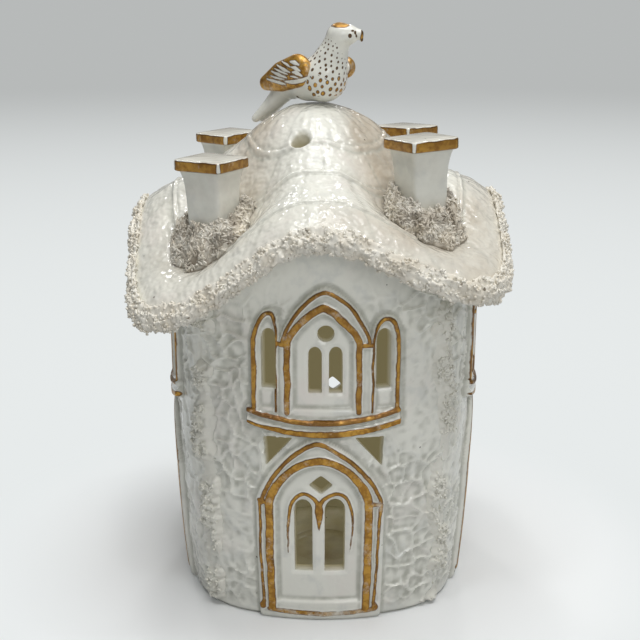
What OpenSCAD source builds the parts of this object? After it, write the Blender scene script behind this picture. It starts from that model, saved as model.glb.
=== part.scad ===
// A porcelain pastille burner in the form of a cottage: a pierced square tower with a thatched ogee roof,
// four chimneys, shredded-clay moss and a bird, which lifts off a low stand for the scented pastille.
// Units are millimetres, +Z is up, the front is towards -Y and the origin is the centre of the footprint.

/* [Tower] */
// Half width between opposite walls, above the batter
tower_half = 36.2; // [33:0.2:38]
// Radius of the rounded corners
corner_radius = 22; // [16:0.5:26]
// Radius of the bowed wall faces
face_radius = 54; // [48:1:75]
// Thickness of the walls
wall_thickness = 3; // [2.4:0.1:4]
// Draw-in of the walls at the foot
foot_batter = 2.3; // [0.5:0.1:3]
// Height at which the batter dies out
batter_height = 46; // [30:1:60]

/* [Upper window] */
// Height of the window sill
window_sill_z = 52.6; // [51:0.2:55]
// Height where the window arch springs
window_spring_z = 69; // [66:0.5:70]
// Half width of the window arch, outside its moulding
window_half = 8.7; // [8:0.1:9.2]
// Rise of the window arch above its springing
window_rise = 8.9; // [8.8:0.1:10]
// Width of the raised window moulding
window_band = 1.55; // [1:0.05:2]
// Margin of the raised panel round the window arch
window_margin = 0.8; // [0.4:0.1:1.2]
// Distance of each pointed light from the window's centre line
lancet_x = 2.3; // [2.1:0.1:3]
// Half width of each pointed light
lancet_half = 1.5; // [1.2:0.1:1.6]
// Height of the bottom of the pointed lights
lancet_base_z = 57.3; // [55:0.5:60]
// Height where the pointed lights spring
lancet_spring_z = 66.1; // [62:0.1:66.5]
// Height of the centre of the round light
roundel_z = 71; // [70.4:0.2:72]
// Radius of the round light
roundel_radius = 1.85; // [1.2:0.05:2]
// Distance of each side light from the centre line
side_light_x = 12.7; // [12:0.1:13.4]
// Half width of each side light's piercing
side_light_half = 1.75; // [1.2:0.05:1.9]
// Height of the bottom of the side lights' piercing
side_light_base_z = 58.3; // [55:0.5:60]
// Height where the side lights spring
side_light_spring_z = 69.4; // [66:0.1:70]
// Width of the frame round each side light
side_light_frame = 1; // [0.6:0.1:1.2]

/* [String course] */
// Height of the middle of the string course
course_z = 49.1; // [48.8:0.1:49.6]
// Height of the string course's face
course_height = 2.6; // [1.5:0.1:2.8]
// Half length of the string course
course_half = 16.6; // [15:0.2:17.5]
// How far the string course dips in the middle
course_sag = 1.4; // [0.5:0.1:1.6]

/* [Door] */
// Height where the door arch springs
door_spring_z = 30.5; // [28:0.5:32]
// Half width of the door arch, outside its moulding
door_half = 11.9; // [11:0.1:12.4]
// Rise of the door arch above its springing
door_rise = 12; // [12:0.1:12.6]
// Width of the raised door moulding
door_band = 1.8; // [1.2:0.1:2.2]
// Margin of the raised panel round the door arch
door_margin = 1.8; // [1.2:0.1:2.2]
// Distance of each door light from the centre line
door_light_x = 3.6; // [3.2:0.1:4]
// Half width of each door light
door_light_half = 2.1; // [1.6:0.05:2.3]
// Height of the bottom of the door lights
door_light_base_z = 13; // [10:0.5:16]
// Height where the door lights spring
door_light_spring_z = 28.8; // [24:0.1:29]
// Sideways shift of the door and diamond lights
door_light_shift = -0.7; // [-1:0.1:1]
// Height of the middle of the diamond light
diamond_z = 35.2; // [35:0.1:35.6]
// Half width of the diamond light
diamond_half = 2.9; // [2:0.1:3.2]
// Half height of the diamond light
diamond_rise = 2.5; // [1.6:0.1:2.6]
// Height of the level top of the corner piercings over the door
spandrel_top_z = 46.2; // [45:0.2:46.4]
// Half distance between the outer sides of the corner piercings
spandrel_half = 13.4; // [12.5:0.1:14]

/* [Relief] */
// Relief of the window and door panels over the wall
panel_relief = 0.7; // [0.4:0.1:1]
// Relief of the mouldings over the wall
moulding_relief = 1.2; // [0.8:0.1:1.6]

/* [Roof] */
// Half width of the roof at the middle of a gable edge
eave_half = 42.8; // [41:0.2:46]
// Height of the gable edge at its middle
gable_edge_z = 93.6; // [92:0.1:97]
// Rise of the roof from the gable edge to its flat
brim_rise = 6; // [4:0.1:7]
// Rise of the dome above the flat of the roof
dome_rise = 18.3; // [14:0.1:20]
// Radius of the dome's swell
dome_radius = 20.9; // [19:0.1:22]
// Fall of the eaves from a gable to a corner
corner_droop = 12.6; // [10:0.1:14]
// Extra turn-down of the brim at a corner
corner_curl = 2.8; // [0:0.1:4]
// Thickness of the roof shell
roof_thickness = 3.4; // [2.6:0.1:4]
// Step at the lower edge of each thatch course
thatch_step = 0.55; // [0.2:0.05:0.8]
// Sideways lean of the roof in degrees
roof_lean = 1.2; // [0:0.1:2]
// Sideways shift of the roof on the tower
roof_shift = -1.2; // [-2:0.1:2]
// Radius of the smoke vent in the dome
vent_radius = 2.4; // [1.5:0.1:3]
// Distance of the smoke vent from the dome's axis
vent_reach = 15.6; // [14:0.1:17]
// Bearing of the smoke vent round the dome in degrees
vent_bearing = -103; // [-120:1:-60]
// Upward tilt of the smoke vent in degrees
vent_tilt = 44; // [35:1:55]

/* [Chimneys] */
// Distance of each chimney from both centre planes of the roof
chimney_reach = 23; // [22:0.1:24]
// Height of a chimney above the roof at its middle
chimney_height = 20.6; // [17:0.1:22]
// Half width of the cap
cap_half = 6; // [5.6:0.1:6.4]
// Thickness of the cap
cap_thickness = 2.5; // [1.8:0.1:3]
// Half width of the shaft under the cap
shaft_top_half = 5.1; // [4:0.1:5.3]
// Half width of the shaft at its foot
shaft_foot_half = 3.7; // [3:0.1:3.9]

/* [Moss] */
// Reach of a moss heap from its chimney's axis
heap_reach = 9.8; // [8.5:0.1:10.4]
// Height of a moss heap over the roof
heap_height = 6.2; // [4:0.1:6.8]
// Width of the eave moss on top of the roof
eave_moss_width = 3; // [2:0.1:5]
// Thickness of the eave moss outside the roof's edge
eave_moss_depth = 1.9; // [1.2:0.1:2.4]
// Height of the eave moss over the roof
eave_moss_height = 1.7; // [1:0.1:2.2]
// Height of the tufts along the eave moss
eave_tuft = 1.4; // [0.6:0.1:1.8]
// Half width of a corner creeper in degrees about the corner's centre
creeper_angle = 8; // [5:0.5:10]
// Thickness of a corner creeper
creeper_depth = 1.3; // [0.8:0.1:1.6]

/* [Bird] */
// Turn of the bird towards the front in degrees
bird_turn = 35; // [20:1:50]
// Turn of the bird's head back towards the side in degrees
head_turn = 20; // [0:1:35]
// Radius of the breast
breast_radius = 5.2; // [4.6:0.1:5.6]
// Radius of the rump and of the lower neck
rump_radius = 3.6; // [3.2:0.1:4]
// Radius of the back of the head
head_radius = 2.9; // [2.6:0.1:3.2]
// Length of the tail from the rump
tail_length = 10.6; // [8:0.1:12]
// Height of the head's middle above the dome
head_lift = 14.6; // [13:0.1:15.5]
// Thickness of a wing
wing_thickness = 1.5; // [1:0.1:2]

/* [Stand] */
// Radius of the stand
stand_radius = 26; // [22:0.5:28]
// Height of the stand's rim
stand_height = 3.6; // [3:0.1:5]
// Thickness of the stand's floor
stand_floor = 2; // [1.5:0.1:2.5]
// Radius of the hollow that holds the pastille
pastille_radius = 9; // [6:0.5:12]
// Depth of the hollow that holds the pastille
pastille_depth = 0.8; // [0.4:0.1:1]
// How far the rim stands out beyond the stand's foot
stand_flare = 3; // [2:0.1:4]
// Width of the rim's top
rim_width = 2; // [1.5:0.1:3]

/* [Fits] */
// Thickness of the slip joint between pieces that are stuck together
slip_joint = 0.12; // [0.08:0.02:0.3]
// Depth of slip under a piece that sits on the thatch courses
seat_clearance = 0.4; // [0.35:0.05:0.6]

/* [Hidden] */
CORNERS = ["front_left", "front_right", "back_right", "back_left"];
SIDES = ["front", "right", "back", "left"];

$fn = 48;
porcelain = [0.93, 0.92, 0.89];
moss_clay = [0.80, 0.76, 0.69];
gilding = [0.72, 0.53, 0.26];

// The plan of the tower is four face arcs, each tangent to the corner arcs beside it.
bow_offset = face_radius - tower_half;
arc_gap = face_radius - corner_radius;
corner_offset = (sqrt(2 * arc_gap * arc_gap - bow_offset * bow_offset) - bow_offset) / 2;
face_angle = atan2(corner_offset, corner_offset + bow_offset);
cut_spare = 4;
cut_start = 20;
wall_top = gable_edge_z + brim_rise + cut_spare;
batter_steps = 4;
wall_levels = concat([for (i = [0:batter_steps]) batter_height * i / batter_steps], [wall_top]);
cut_depth = tower_half + moulding_relief + cut_spare;
relief_root = 0.5;
wall_steps = 16;
face_steps = 8;
arc_steps = 7;

// Rise of a light's head in half widths of the light.
light_head = 1.28;
side_light_head = 1.5;

// Powers of the two shares that shape an arch: the higher the first is, the sharper its point.
hood_shape = [1.33, 1.44];
window_shape = [1.48, 1.5];
door_shape = [1, 1.4];
side_shape = [0.91, 1.2];
light_shape = [1, 1];

// Rise of a panel's point over its arch, and the gaps from the door's panel to its corner piercings.
hood_lift = 2.8;
side_hood_rise = 6;
spandrel_gap = 2.9;
spandrel_lift = 4.7;

// How far the wall's face lies inside the plain wall at height z.
function batter(z) = -foot_batter * pow(max(0, 1 - z / batter_height), 2);

// The point of the front wall's plan whose outward normal is turned by t from straight ahead, set out by off.
function plan(t, off) =
    abs(t) <= face_angle
    ? [(face_radius + off) * sin(t), bow_offset - (face_radius + off) * cos(t)]
    : [sign(t) * corner_offset + (corner_radius + off) * sin(t),
        -corner_offset - (corner_radius + off) * cos(t)];

// The roof is an ogee dome over a four-gabled brim, and each corner droops by its own share.
droop_share = [1.06, 1.12, 1.15, 0.84];
brim_power = 8;
dome_power = 2.4;
eave_power = 5;
around = 72;
per_side = around / 4;
lean_height = 85;
thatch_rows = [0, 0.2, 0.39, 0.55, 0.8, 1];
row_points = [0.03, 0.5, 0.97];
under_rings = [1, 0.86, 0.72, 0.57, 0.4, 0.2];

function bearing(i) = 360 * i / around;
function quadrant(a) = floor((((a % 360) + 360) % 360) / 90);
function eave_r(a) =
    eave_half / pow(pow(abs(cos(a)), eave_power) + pow(abs(sin(a)), eave_power), 1 / eave_power);
function ring_r(s, a) = s * (eave_half * (1 - s * s) + eave_r(a) * s * s);
function droop(s, a) =
    droop_share[quadrant(a)] * (1 - cos(4 * a)) / 2
    * (corner_droop * (1 - exp(-pow(2 * s, 4))) + corner_curl * pow(s, brim_power));
function roof_z(r, a) =
    let (s = r / eave_r(a))
    gable_edge_z + brim_rise * (1 - pow(s, brim_power))
    + dome_rise * exp(-pow(r / dome_radius, dome_power)) - droop(s, a);
function roof_at(x, y) = roof_z(norm([x, y]), atan2(y, x));
function polar(r, a, z) = [r * cos(a), r * sin(a), z];
dome_top = roof_z(0.001, 0) + thatch_step / 2;

// A repeatable roughness between 0 and 1 for place i, j.
function rough(i, j) = let (h = sin(i * 127.1 + j * 311.7) * 4375.85) h - floor(h);

// Faces of the sides of a tube of rings, each of n points.
function tube_sides(rings, n) = concat(
    [for (k = [0:rings - 2], j = [0:n - 1]) [k * n + j, (k + 1) * n + j, k * n + (j + 1) % n]],
    [for (k = [0:rings - 2], j = [0:n - 1])
        [k * n + (j + 1) % n, (k + 1) * n + j, (k + 1) * n + (j + 1) % n]]
);

// Faces of a closed tube whose ends are flat fans.
function tube_faces(rings, n) = concat(
    tube_sides(rings, n),
    [for (j = [1:n - 2]) [0, j, j + 1]],
    [for (j = [1:n - 2]) [(rings - 1) * n, (rings - 1) * n + j + 1, (rings - 1) * n + j]]
);

// Faces of a closed tube whose ends are ladders between the two long edges of a thin ring.
function slab_faces(rings, n) =
    let (last = (rings - 1) * n)
    concat(
        tube_sides(rings, n),
        [for (j = [0:n / 2 - 2]) [j, j + 1, n - 2 - j, n - 1 - j]],
        [for (j = [0:n / 2 - 2]) [last + j, last + n - 1 - j, last + n - 2 - j, last + j + 1]]
    );

// Carries a piece from the roof's own upright frame to its place on the tower.
module on_roof() {
    translate([roof_shift, 0, lean_height])
        rotate([0, -roof_lean, 0])
            translate([0, 0, -lean_height])
                children();
}

// A flat outline in the plane of the front wall, carried through it.
module through_wall() {
    translate([0, -cut_start, 0])
        rotate([90, 0, 0])
            linear_extrude(cut_depth - cut_start)
                children();
}

// The point of an arch at turn a, which is 0 where it springs and 90 at its crown.
function arch_point(half, rise, shape, a) = [half * pow(cos(a), shape[0]), rise * pow(sin(a), shape[1])];

// Points of an arch on straight sides, from its left foot over to its right foot.
function arch(half, base, spring, rise, shape) =
    let (right = [for (i = [0:arc_steps - 1]) arch_point(half, rise, shape, 90 * i / arc_steps)])
    concat(
        [[-half, base]],
        [for (p = right) [-p[0], spring + p[1]]],
        [[0, spring + rise]],
        [for (i = [arc_steps - 1:-1:0]) [right[i][0], spring + right[i][1]]],
        [[half, base]]
    );

// Points of a band round an arch, open at its foot.
function arch_band(half, base, spring, rise, band, shape) =
    let (inner = arch(half - band, base, spring, rise - band, shape))
    concat(arch(half, base, spring, rise, shape), [for (i = [len(inner) - 1:-1:0]) inner[i]]);

// Points of the string course, which dips in the middle.
function course_points() =
    let (run = [for (i = [-arc_steps:arc_steps]) i / arc_steps])
    concat(
        [for (t = run) [course_half * t, course_z + course_sag * t * t + course_height / 2]],
        [for (t = run) [-course_half * t, course_z + course_sag * t * t - course_height / 2]]
    );

// Points of the right-hand corner piercing over the door, whose long side follows the door's panel.
function spandrel_points() =
    let (
        half = door_half + door_margin + spandrel_gap,
        rise = door_rise + hood_lift + spandrel_lift,
        low = acos(pow(spandrel_half / half, 1 / hood_shape[0])),
        high = asin(pow((spandrel_top_z - door_spring_z) / rise, 1 / hood_shape[1]))
    )
    concat(
        [[spandrel_half, spandrel_top_z]],
        [for (i = [0:arc_steps])
            let (p = arch_point(half, rise, hood_shape, low + (high - low) * i / arc_steps))
            [p[0], door_spring_z + p[1]]]
    );

// A quarter of the tower between two offsets from the wall's face and between two turns of its plan.
module wall_layer(inside, outside, turn, steps) {
    levels = len(wall_levels);
    ring = 2 * levels;
    points = [
        for (i = [0:steps], e = [0, 1], k = [0:levels - 1])
            let (
                z = wall_levels[e == 0 ? k : levels - 1 - k],
                p = plan(turn * (1 - 2 * i / steps), batter(z) + (e == 0 ? outside : inside))
            )
            [p[0], p[1], z]
    ];
    polyhedron(points = points, faces = slab_faces(steps + 1, ring), convexity = 4);
}

// Flat outlines raised from the wall's face by a relief.
module raised(relief) {
    intersection() {
        wall_layer(-relief_root, relief, face_angle, face_steps);
        through_wall()
            children();
    }
}

// The panels and mouldings that stand out from a wall.
module wall_relief() {
    side_half = side_light_half + side_light_frame;
    raised(panel_relief) {
        polygon(arch(
            window_half + window_margin,
            window_sill_z, window_spring_z, window_rise + hood_lift, hood_shape));
        polygon(arch(door_half + door_margin, 0, door_spring_z, door_rise + hood_lift, hood_shape));
        for (side = [-1, 1])
            translate([side * side_light_x, 0])
                polygon(arch(side_half, window_sill_z, side_light_spring_z, side_hood_rise, side_shape));
    }
    raised(moulding_relief) {
        polygon(arch_band(
            window_half, window_sill_z, window_spring_z, window_rise, window_band, window_shape));
        polygon(arch_band(door_half, 0, door_spring_z, door_rise, door_band, door_shape));
        polygon(course_points());
    }
}

// The lights and corner piercings cut through a wall.
module wall_piercings() {
    module light(x, points) {
        through_wall()
            translate([x, 0])
                polygon(points);
    }
    module arched_light(x, half, base, spring, head) {
        light(x, arch(half, base, spring, head * half, light_shape));
    }
    for (side = [-1, 1]) {
        arched_light(side * lancet_x, lancet_half, lancet_base_z, lancet_spring_z, light_head);
        arched_light(
            side * side_light_x, side_light_half, side_light_base_z, side_light_spring_z, side_light_head);
        arched_light(
            side * door_light_x + door_light_shift,
            door_light_half, door_light_base_z, door_light_spring_z, light_head);
        light(0, [for (p = spandrel_points()) [side * p[0], p[1]]]);
    }
    light(door_light_shift, [
        [0, diamond_z + diamond_rise],
        [-diamond_half, diamond_z],
        [0, diamond_z - diamond_rise],
        [diamond_half, diamond_z]
    ]);
    through_wall()
        translate([0, roundel_z])
            circle(roundel_radius, $fn = 32);
}

// The space over the walls that the roof fills, from its underside upwards, either side of a bearing.
module roof_space(middle, reach) {
    rings = [1.1, 1, 0.86, 0.72, 0.58];
    first = around * middle / 360 - reach;
    count = 2 * reach + 1;
    lower = [
        for (s = rings, j = [0:count - 1])
            let (a = bearing(first + j), r = ring_r(min(s, 1), a), wide = s > 1 ? eave_moss_depth : 0)
            polar(r + wide, a, roof_z(r, a) - roof_thickness - slip_joint)
    ];
    upper = [for (p = lower) [p[0], p[1], gable_edge_z + brim_rise + dome_rise]];
    n = len(lower);
    last = len(rings) - 1;
    polyhedron(
        points = concat(lower, upper),
        faces = concat(
            [for (k = [0:last - 1], j = [0:count - 2])
                [k * count + j, k * count + j + 1, (k + 1) * count + j]],
            [for (k = [0:last - 1], j = [0:count - 2])
                [k * count + j + 1, (k + 1) * count + j + 1, (k + 1) * count + j]],
            [for (k = [0:last - 1], j = [0:count - 2])
                [n + k * count + j, n + (k + 1) * count + j, n + k * count + j + 1]],
            [for (k = [0:last - 1], j = [0:count - 2])
                [n + k * count + j + 1, n + (k + 1) * count + j, n + (k + 1) * count + j + 1]],
            [for (j = [0:count - 2]) [j, n + j, n + j + 1, j + 1]],
            [for (j = [0:count - 2])
                [last * count + j, last * count + j + 1, n + last * count + j + 1, n + last * count + j]],
            [for (k = [0:last - 1]) [k * count, (k + 1) * count, n + (k + 1) * count, n + k * count]],
            [for (k = [0:last - 1])
                [(k + 1) * count - 1, n + (k + 1) * count - 1, n + (k + 2) * count - 1, (k + 2) * count - 1]]
        ),
        convexity = 6
    );
}

// One wall of the tower, with its raised panels, mouldings and piercings, drawn at the front.
module wall(side) {
    color(porcelain)
        difference() {
            rotate([0, 0, side * 90])
                difference() {
                    union() {
                        wall_layer(-wall_thickness, 0, 45, wall_steps);
                        wall_relief();
                    }
                    wall_piercings();
                }
            on_roof()
                roof_space(90 * side - 90, per_side / 2 + 2);
        }
}

// The roof shell: stepped thatch courses above, a plain underside below and a smoke vent in the dome.
module roof() {
    rows = len(thatch_rows) - 1;
    top_rings = [
        for (i = [0:rows - 1], f = row_points)
            [thatch_rows[i] + (thatch_rows[i + 1] - thatch_rows[i]) * (i == rows - 1 && f > 0.9 ? 1 : f), f]
    ];
    top_count = len(top_rings);
    under_count = len(under_rings);
    points = concat(
        [[0, 0, dome_top]],
        [for (ring = top_rings, j = [0:around - 1])
            let (a = bearing(j), r = ring_r(ring[0], a))
            polar(r, a, roof_z(r, a) + thatch_step * ring[1] * (ring[0] < 0.999 ? 1 : 0))],
        [for (s = under_rings, j = [0:around - 1])
            let (a = bearing(j), r = ring_r(s, a))
            polar(r, a, roof_z(r, a) - roof_thickness)],
        [[0, 0, dome_top - roof_thickness]]
    );
    count = top_count + under_count;
    end = count * around + 1;
    faces = concat(
        [for (j = [0:around - 1]) [0, 1 + (j + 1) % around, 1 + j]],
        [for (k = [0:count - 2], j = [0:around - 1])
            [1 + k * around + j, 1 + k * around + (j + 1) % around, 1 + (k + 1) * around + j]],
        [for (k = [0:count - 2], j = [0:around - 1])
            [1 + k * around + (j + 1) % around,
                1 + (k + 1) * around + (j + 1) % around,
                1 + (k + 1) * around + j]],
        [for (j = [0:around - 1])
            [end, 1 + (count - 1) * around + j, 1 + (count - 1) * around + (j + 1) % around]]
    );
    color(porcelain)
        on_roof()
            difference() {
                polyhedron(points = points, faces = faces, convexity = 8);
                translate(polar(vent_reach, vent_bearing, roof_z(vent_reach, vent_bearing)))
                    rotate([0, 90 - vent_tilt, vent_bearing])
                        cylinder(r = vent_radius, h = 4 * roof_thickness, center = true);
            }
}

// A band of tufted moss wrapped over the roof's edge along one gable.
module eave_moss(side) {
    steps = 2 * per_side;
    section = [
        [-eave_moss_width, slip_joint],
        [-0.8 * eave_moss_width, 0.7 * eave_moss_height],
        [-0.4 * eave_moss_width, eave_moss_height],
        [0.5 * eave_moss_depth, 0.8 * eave_moss_height],
        [eave_moss_depth, -0.3 * roof_thickness],
        [0.9 * eave_moss_depth, -0.8 * roof_thickness],
        [slip_joint, -roof_thickness],
        [slip_joint, slip_joint]
    ];
    // The way that each point of the section swells in a tuft.
    swell = [[0, 0], [-0.4, 0.5], [-0.2, 1], [0.6, 0.8], [1, 0.3], [0.9, -0.4], [0, 0], [0, 0]];
    n = len(section);
    // Place of section point i at sample j: out from the edge along the bearing, up from the roof there.
    function place(i, j) =
        let (
            a = 90 * side - 135 + 90 * j / steps,
            edge = eave_r(a),
            p = section[i] + eave_tuft * (rough(i + 7 * side, j) - 0.5) * swell[i],
            on_top = roof_z(min(edge + p[0], edge), a) + thatch_step * (p[0] < 0 ? 1 : 0)
        )
        polar(edge + p[0], a, on_top + p[1]);
    color(moss_clay)
        on_roof()
            polyhedron(
                points = [for (j = [0:steps], i = [0:n - 1]) place(i, j)],
                faces = tube_faces(steps + 1, n),
                convexity = 6
            );
}

// A strip of moss up a corner of the tower, over the seam of two walls.
module corner_creeper(i) {
    steps = 26;
    foot = 1;
    run = [for (k = [0:steps]) foot + (wall_top - foot) * k / steps];
    function face(k, out) = [corner_radius + batter(run[k]) + out, run[k]];
    color(moss_clay)
        difference() {
            rotate([0, 0, i * 90 - 90])
                translate([corner_offset, -corner_offset, 0])
                    rotate([0, 0, -45 - creeper_angle])
                        rotate_extrude(angle = 2 * creeper_angle)
                            polygon(concat(
                                [for (k = [0:steps]) face(k, creeper_depth * (0.55 + 0.45 * rough(i, k)))],
                                [for (k = [steps:-1:0]) face(k, slip_joint)]
                            ));
            on_roof()
                roof_space(90 * i - 135, 3);
        }
}

// Signs of x and y for each corner, and the turn of its chimney.
corner_sign = [[-1, -1], [1, -1], [1, 1], [-1, 1]];
chimney_turn = [-30, 30, 45, 45];

// Levels of the shaft as shares of its height, each with its share of the flare.
chimney_levels = [[0.32, 0], [0.52, 0.18], [0.72, 0.5], [0.86, 0.86], [1, 1]];
shaft_height = chimney_height - cap_thickness;
clip_turn = 5;

// The corners of a square with clipped edges, half width h, turned by t.
function clipped_square(h, t) = [
    for (q = [0:3], e = [-1, 1])
        let (a = t + 90 * q + 45 + e * clip_turn)
        h / cos(45 - clip_turn) * [cos(a), sin(a)]
];
function chimney_xy(i) = chimney_reach * corner_sign[i];
function chimney_foot_z(i) = roof_at(chimney_xy(i)[0], chimney_xy(i)[1]);
function shaft_half(share) = shaft_foot_half + (shaft_top_half - shaft_foot_half) * share;

// The point over x, y where a piece rests on the thatch, raised by up.
function seat(x, y, up = 0) = [x, y, roof_at(x, y) + thatch_step + seat_clearance + up];

// A square chimney whose flared shaft carries a flat cap, its foot cut to the roof.
module chimney(i) {
    place = chimney_xy(i);
    base = chimney_foot_z(i);
    function ring(h, z) =
        [for (p = clipped_square(h, chimney_turn[i])) [place[0] + p[0], place[1] + p[1], z]];
    function seated(h) = [for (p = ring(h, 0)) seat(p[0], p[1])];
    points = concat(
        seated(shaft_foot_half / 2),
        seated(shaft_foot_half),
        [for (level = chimney_levels, p = ring(shaft_half(level[1]), base + shaft_height * level[0])) p],
        ring(cap_half, base + shaft_height),
        ring(cap_half, base + chimney_height)
    );
    color(porcelain)
        on_roof()
            polyhedron(
                points = points,
                faces = tube_faces(len(points) / 8, 8),
                convexity = 4
            );
}

// A ring-shaped heap of moss on the roof round a chimney's foot.
module chimney_moss(i) {
    place = chimney_xy(i);
    n = 28;
    heights = [0, 0.75, 1, 0.8, 0.45, 0];
    shares = [0, 0, 0.3, 0.65, 0.9, 1];
    collar = shaft_half(chimney_levels[1][1]) + seat_clearance;
    // Place of profile point k at sample j: from the collar round the shaft out to the heap's edge.
    function heap_point(k, j) =
        let (
            a = 360 * j / n,
            q = ((a - chimney_turn[i] + 45) % 90 + 90) % 90 - 45,
            inner = collar / cos(q),
            outer = heap_reach * (0.92 + 0.16 * rough(i, j)),
            r = inner + (outer - inner) * shares[k],
            up = heap_height * heights[k] * (0.75 + 0.4 * rough(i + 3 * k, j))
        )
        seat(place[0] + r * cos(a), place[1] + r * sin(a), up);
    color(moss_clay)
        on_roof()
            polyhedron(
                points = [for (j = [0:n - 1], k = [0:5]) heap_point(k, j)],
                faces = concat(
                    [for (j = [0:n - 1], k = [0:5])
                        [j * 6 + k, ((j + 1) % n) * 6 + k, j * 6 + (k + 1) % 6]],
                    [for (j = [0:n - 1], k = [0:5])
                        [j * 6 + (k + 1) % 6, ((j + 1) % n) * 6 + k, ((j + 1) % n) * 6 + (k + 1) % 6]]
                ),
                convexity = 6
            );
}

// The solid under the crown of the dome, which the bird's belly and tail are cut to.
module dome_crown() {
    n = 32;
    ring_step = dome_radius / 7;
    rings = [for (k = [1:8]) ring_step * k];
    points = concat(
        [[0, 0, dome_top + thatch_step + slip_joint]],
        [for (r = rings, j = [0:n - 1])
            polar(r, 360 * j / n, roof_z(r, 360 * j / n) + 1.6 * thatch_step + slip_joint)],
        [[0, 0, gable_edge_z - corner_droop]]
    );
    last = len(rings) - 1;
    polyhedron(
        points = points,
        faces = concat(
            [for (j = [0:n - 1]) [0, 1 + (j + 1) % n, 1 + j]],
            [for (k = [0:last - 1], j = [0:n - 1])
                [1 + k * n + j, 1 + k * n + (j + 1) % n, 1 + (k + 1) * n + j]],
            [for (k = [0:last - 1], j = [0:n - 1])
                [1 + k * n + (j + 1) % n, 1 + (k + 1) * n + (j + 1) % n, 1 + (k + 1) * n + j]],
            [for (j = [0:n - 1]) [len(points) - 1, 1 + last * n + j, 1 + last * n + (j + 1) % n]]
        ),
        convexity = 4
    );
}

module ball(at, r) {
    translate(at)
        sphere(r, $fn = 12);
}

// The bird's tail, body, neck, head and beak as one swelling form, larger by grow. Places along the body are
// in breast radii from the crown of the dome, and places on the head in head radii from the nape.
module bird_form(grow = 0) {
    rump = breast_radius * [-1.38, 0, 0.79];
    middle = breast_radius * [-0.42, 0, 0.96];
    breast = breast_radius * [0.44, 0, 1];
    neck = [0.96 * breast_radius, 0, (breast_radius + head_lift) / 2];
    nape = [1.38 * breast_radius, 0, head_lift];
    tail_root = breast_radius * [-1.92, 0, 0.4];
    tail_drop = rump - [tail_length, 0, 1.63 * breast_radius];
    tail_spread = breast_radius * [0, 0.38, 0];
    middle_radius = 0.92 * breast_radius;
    tail_root_radius = 0.38 * breast_radius;
    tail_tip_radius = 0.17 * breast_radius;
    face = head_radius * [0.86, 0, -0.07];
    beak_root = head_radius * [0.86, 0, 0];
    beak_bend = head_radius * [1.62, 0, 0.03];
    beak_tip = head_radius * [1.79, 0, -0.45];
    hull() {
        ball(tail_drop + tail_spread, tail_tip_radius + grow);
        ball(tail_drop - tail_spread, tail_tip_radius + grow);
        ball(tail_root, tail_root_radius + grow);
    }
    hull() {
        ball(tail_root, tail_root_radius + grow);
        ball(rump, rump_radius + grow);
    }
    hull() {
        ball(rump, rump_radius + grow);
        ball(middle, middle_radius + grow);
    }
    hull() {
        ball(middle, middle_radius + grow);
        ball(breast, breast_radius + grow);
    }
    hull() {
        ball(breast, breast_radius + grow);
        ball(neck, rump_radius + grow);
    }
    hull() {
        ball(neck, rump_radius + grow);
        ball(nape, head_radius + grow);
    }
    translate(nape)
        rotate([0, 0, head_turn]) {
            hull() {
                ball([0, 0, 0], head_radius + grow);
                ball(face, 0.86 * head_radius + grow);
            }
            hull() {
                ball(beak_root, 0.55 * head_radius + grow);
                ball(beak_bend, 0.31 * head_radius + grow);
            }
            hull() {
                ball(beak_bend, 0.31 * head_radius + grow);
                ball(beak_tip, 0.155 * head_radius + grow);
            }
        }
}

// Carries the bird from its own frame, facing +X, to the crown of the dome.
module on_dome() {
    on_roof()
        translate([0, 0, dome_top])
            rotate([0, 0, -bird_turn])
                children();
}

module bird_body() {
    color(porcelain)
        difference() {
            on_dome()
                bird_form();
            on_roof()
                dome_crown();
        }
}

// A wing on the bird's right (-1) or left (1) side, through its shoulder, fold and tip. The right wing lies
// against the body, and the left one stands off at its smaller shoulder.
module bird_wing(hand) {
    shoulder = breast_radius * (hand < 0 ? [-0.3, 0.86, 1.2] : [0.8, 1.33, 1.34]);
    fold = breast_radius * (hand < 0 ? [-1.35, 0.68, 1] : [-0.6, 0.87, 1.12]);
    tip = breast_radius * (hand < 0 ? [-2.38, 0.52, 0.68] : [-2.2, 0.52, 0.7]);
    shoulder_radius = breast_radius * (hand < 0 ? 0.79 : 0.5);
    fold_radius = 0.62 * breast_radius;
    tip_radius = 0.27 * breast_radius;
    module swell(at, r, flat, n) {
        translate([at[0], hand * at[1], at[2]])
            scale([1, flat * wing_thickness / r, 1])
                sphere(r, $fn = n);
    }
    color(gilding)
        difference() {
            on_dome()
                hull() {
                    swell(shoulder, shoulder_radius, 1.44, 18);
                    swell(fold, fold_radius, 1.2, 18);
                    swell(tip, tip_radius, 0.43, 12);
                }
            on_dome()
                bird_form(slip_joint);
            on_roof()
                dome_crown();
        }
}

// A low round stand with a rim and a hollow for the pastille.
module pastille_stand() {
    color(porcelain)
        rotate_extrude()
            polygon([
                [0, 0],
                [stand_radius - stand_flare, 0],
                [stand_radius, stand_height],
                [stand_radius - rim_width, stand_height],
                [stand_radius - rim_width - stand_flare / 2, stand_floor],
                [pastille_radius, stand_floor],
                [pastille_radius - pastille_depth, stand_floor - pastille_depth],
                [0, stand_floor - pastille_depth]
            ]);
}

pastille_stand();
roof();
for (i = [0:3]) {
    wall(i);
    eave_moss(i);
    corner_creeper(i);
    chimney(i);
    chimney_moss(i);
}
bird_body();
bird_wing(-1);  // bird_right_wing
bird_wing(1);  // bird_left_wing
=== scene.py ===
"""Looks of a porcelain pastille burner in the form of a cottage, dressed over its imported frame.

Sizes are millimetres in the burner's own frame, +Z up and the front towards -Y. Meshes are written in metres.
"""

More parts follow.
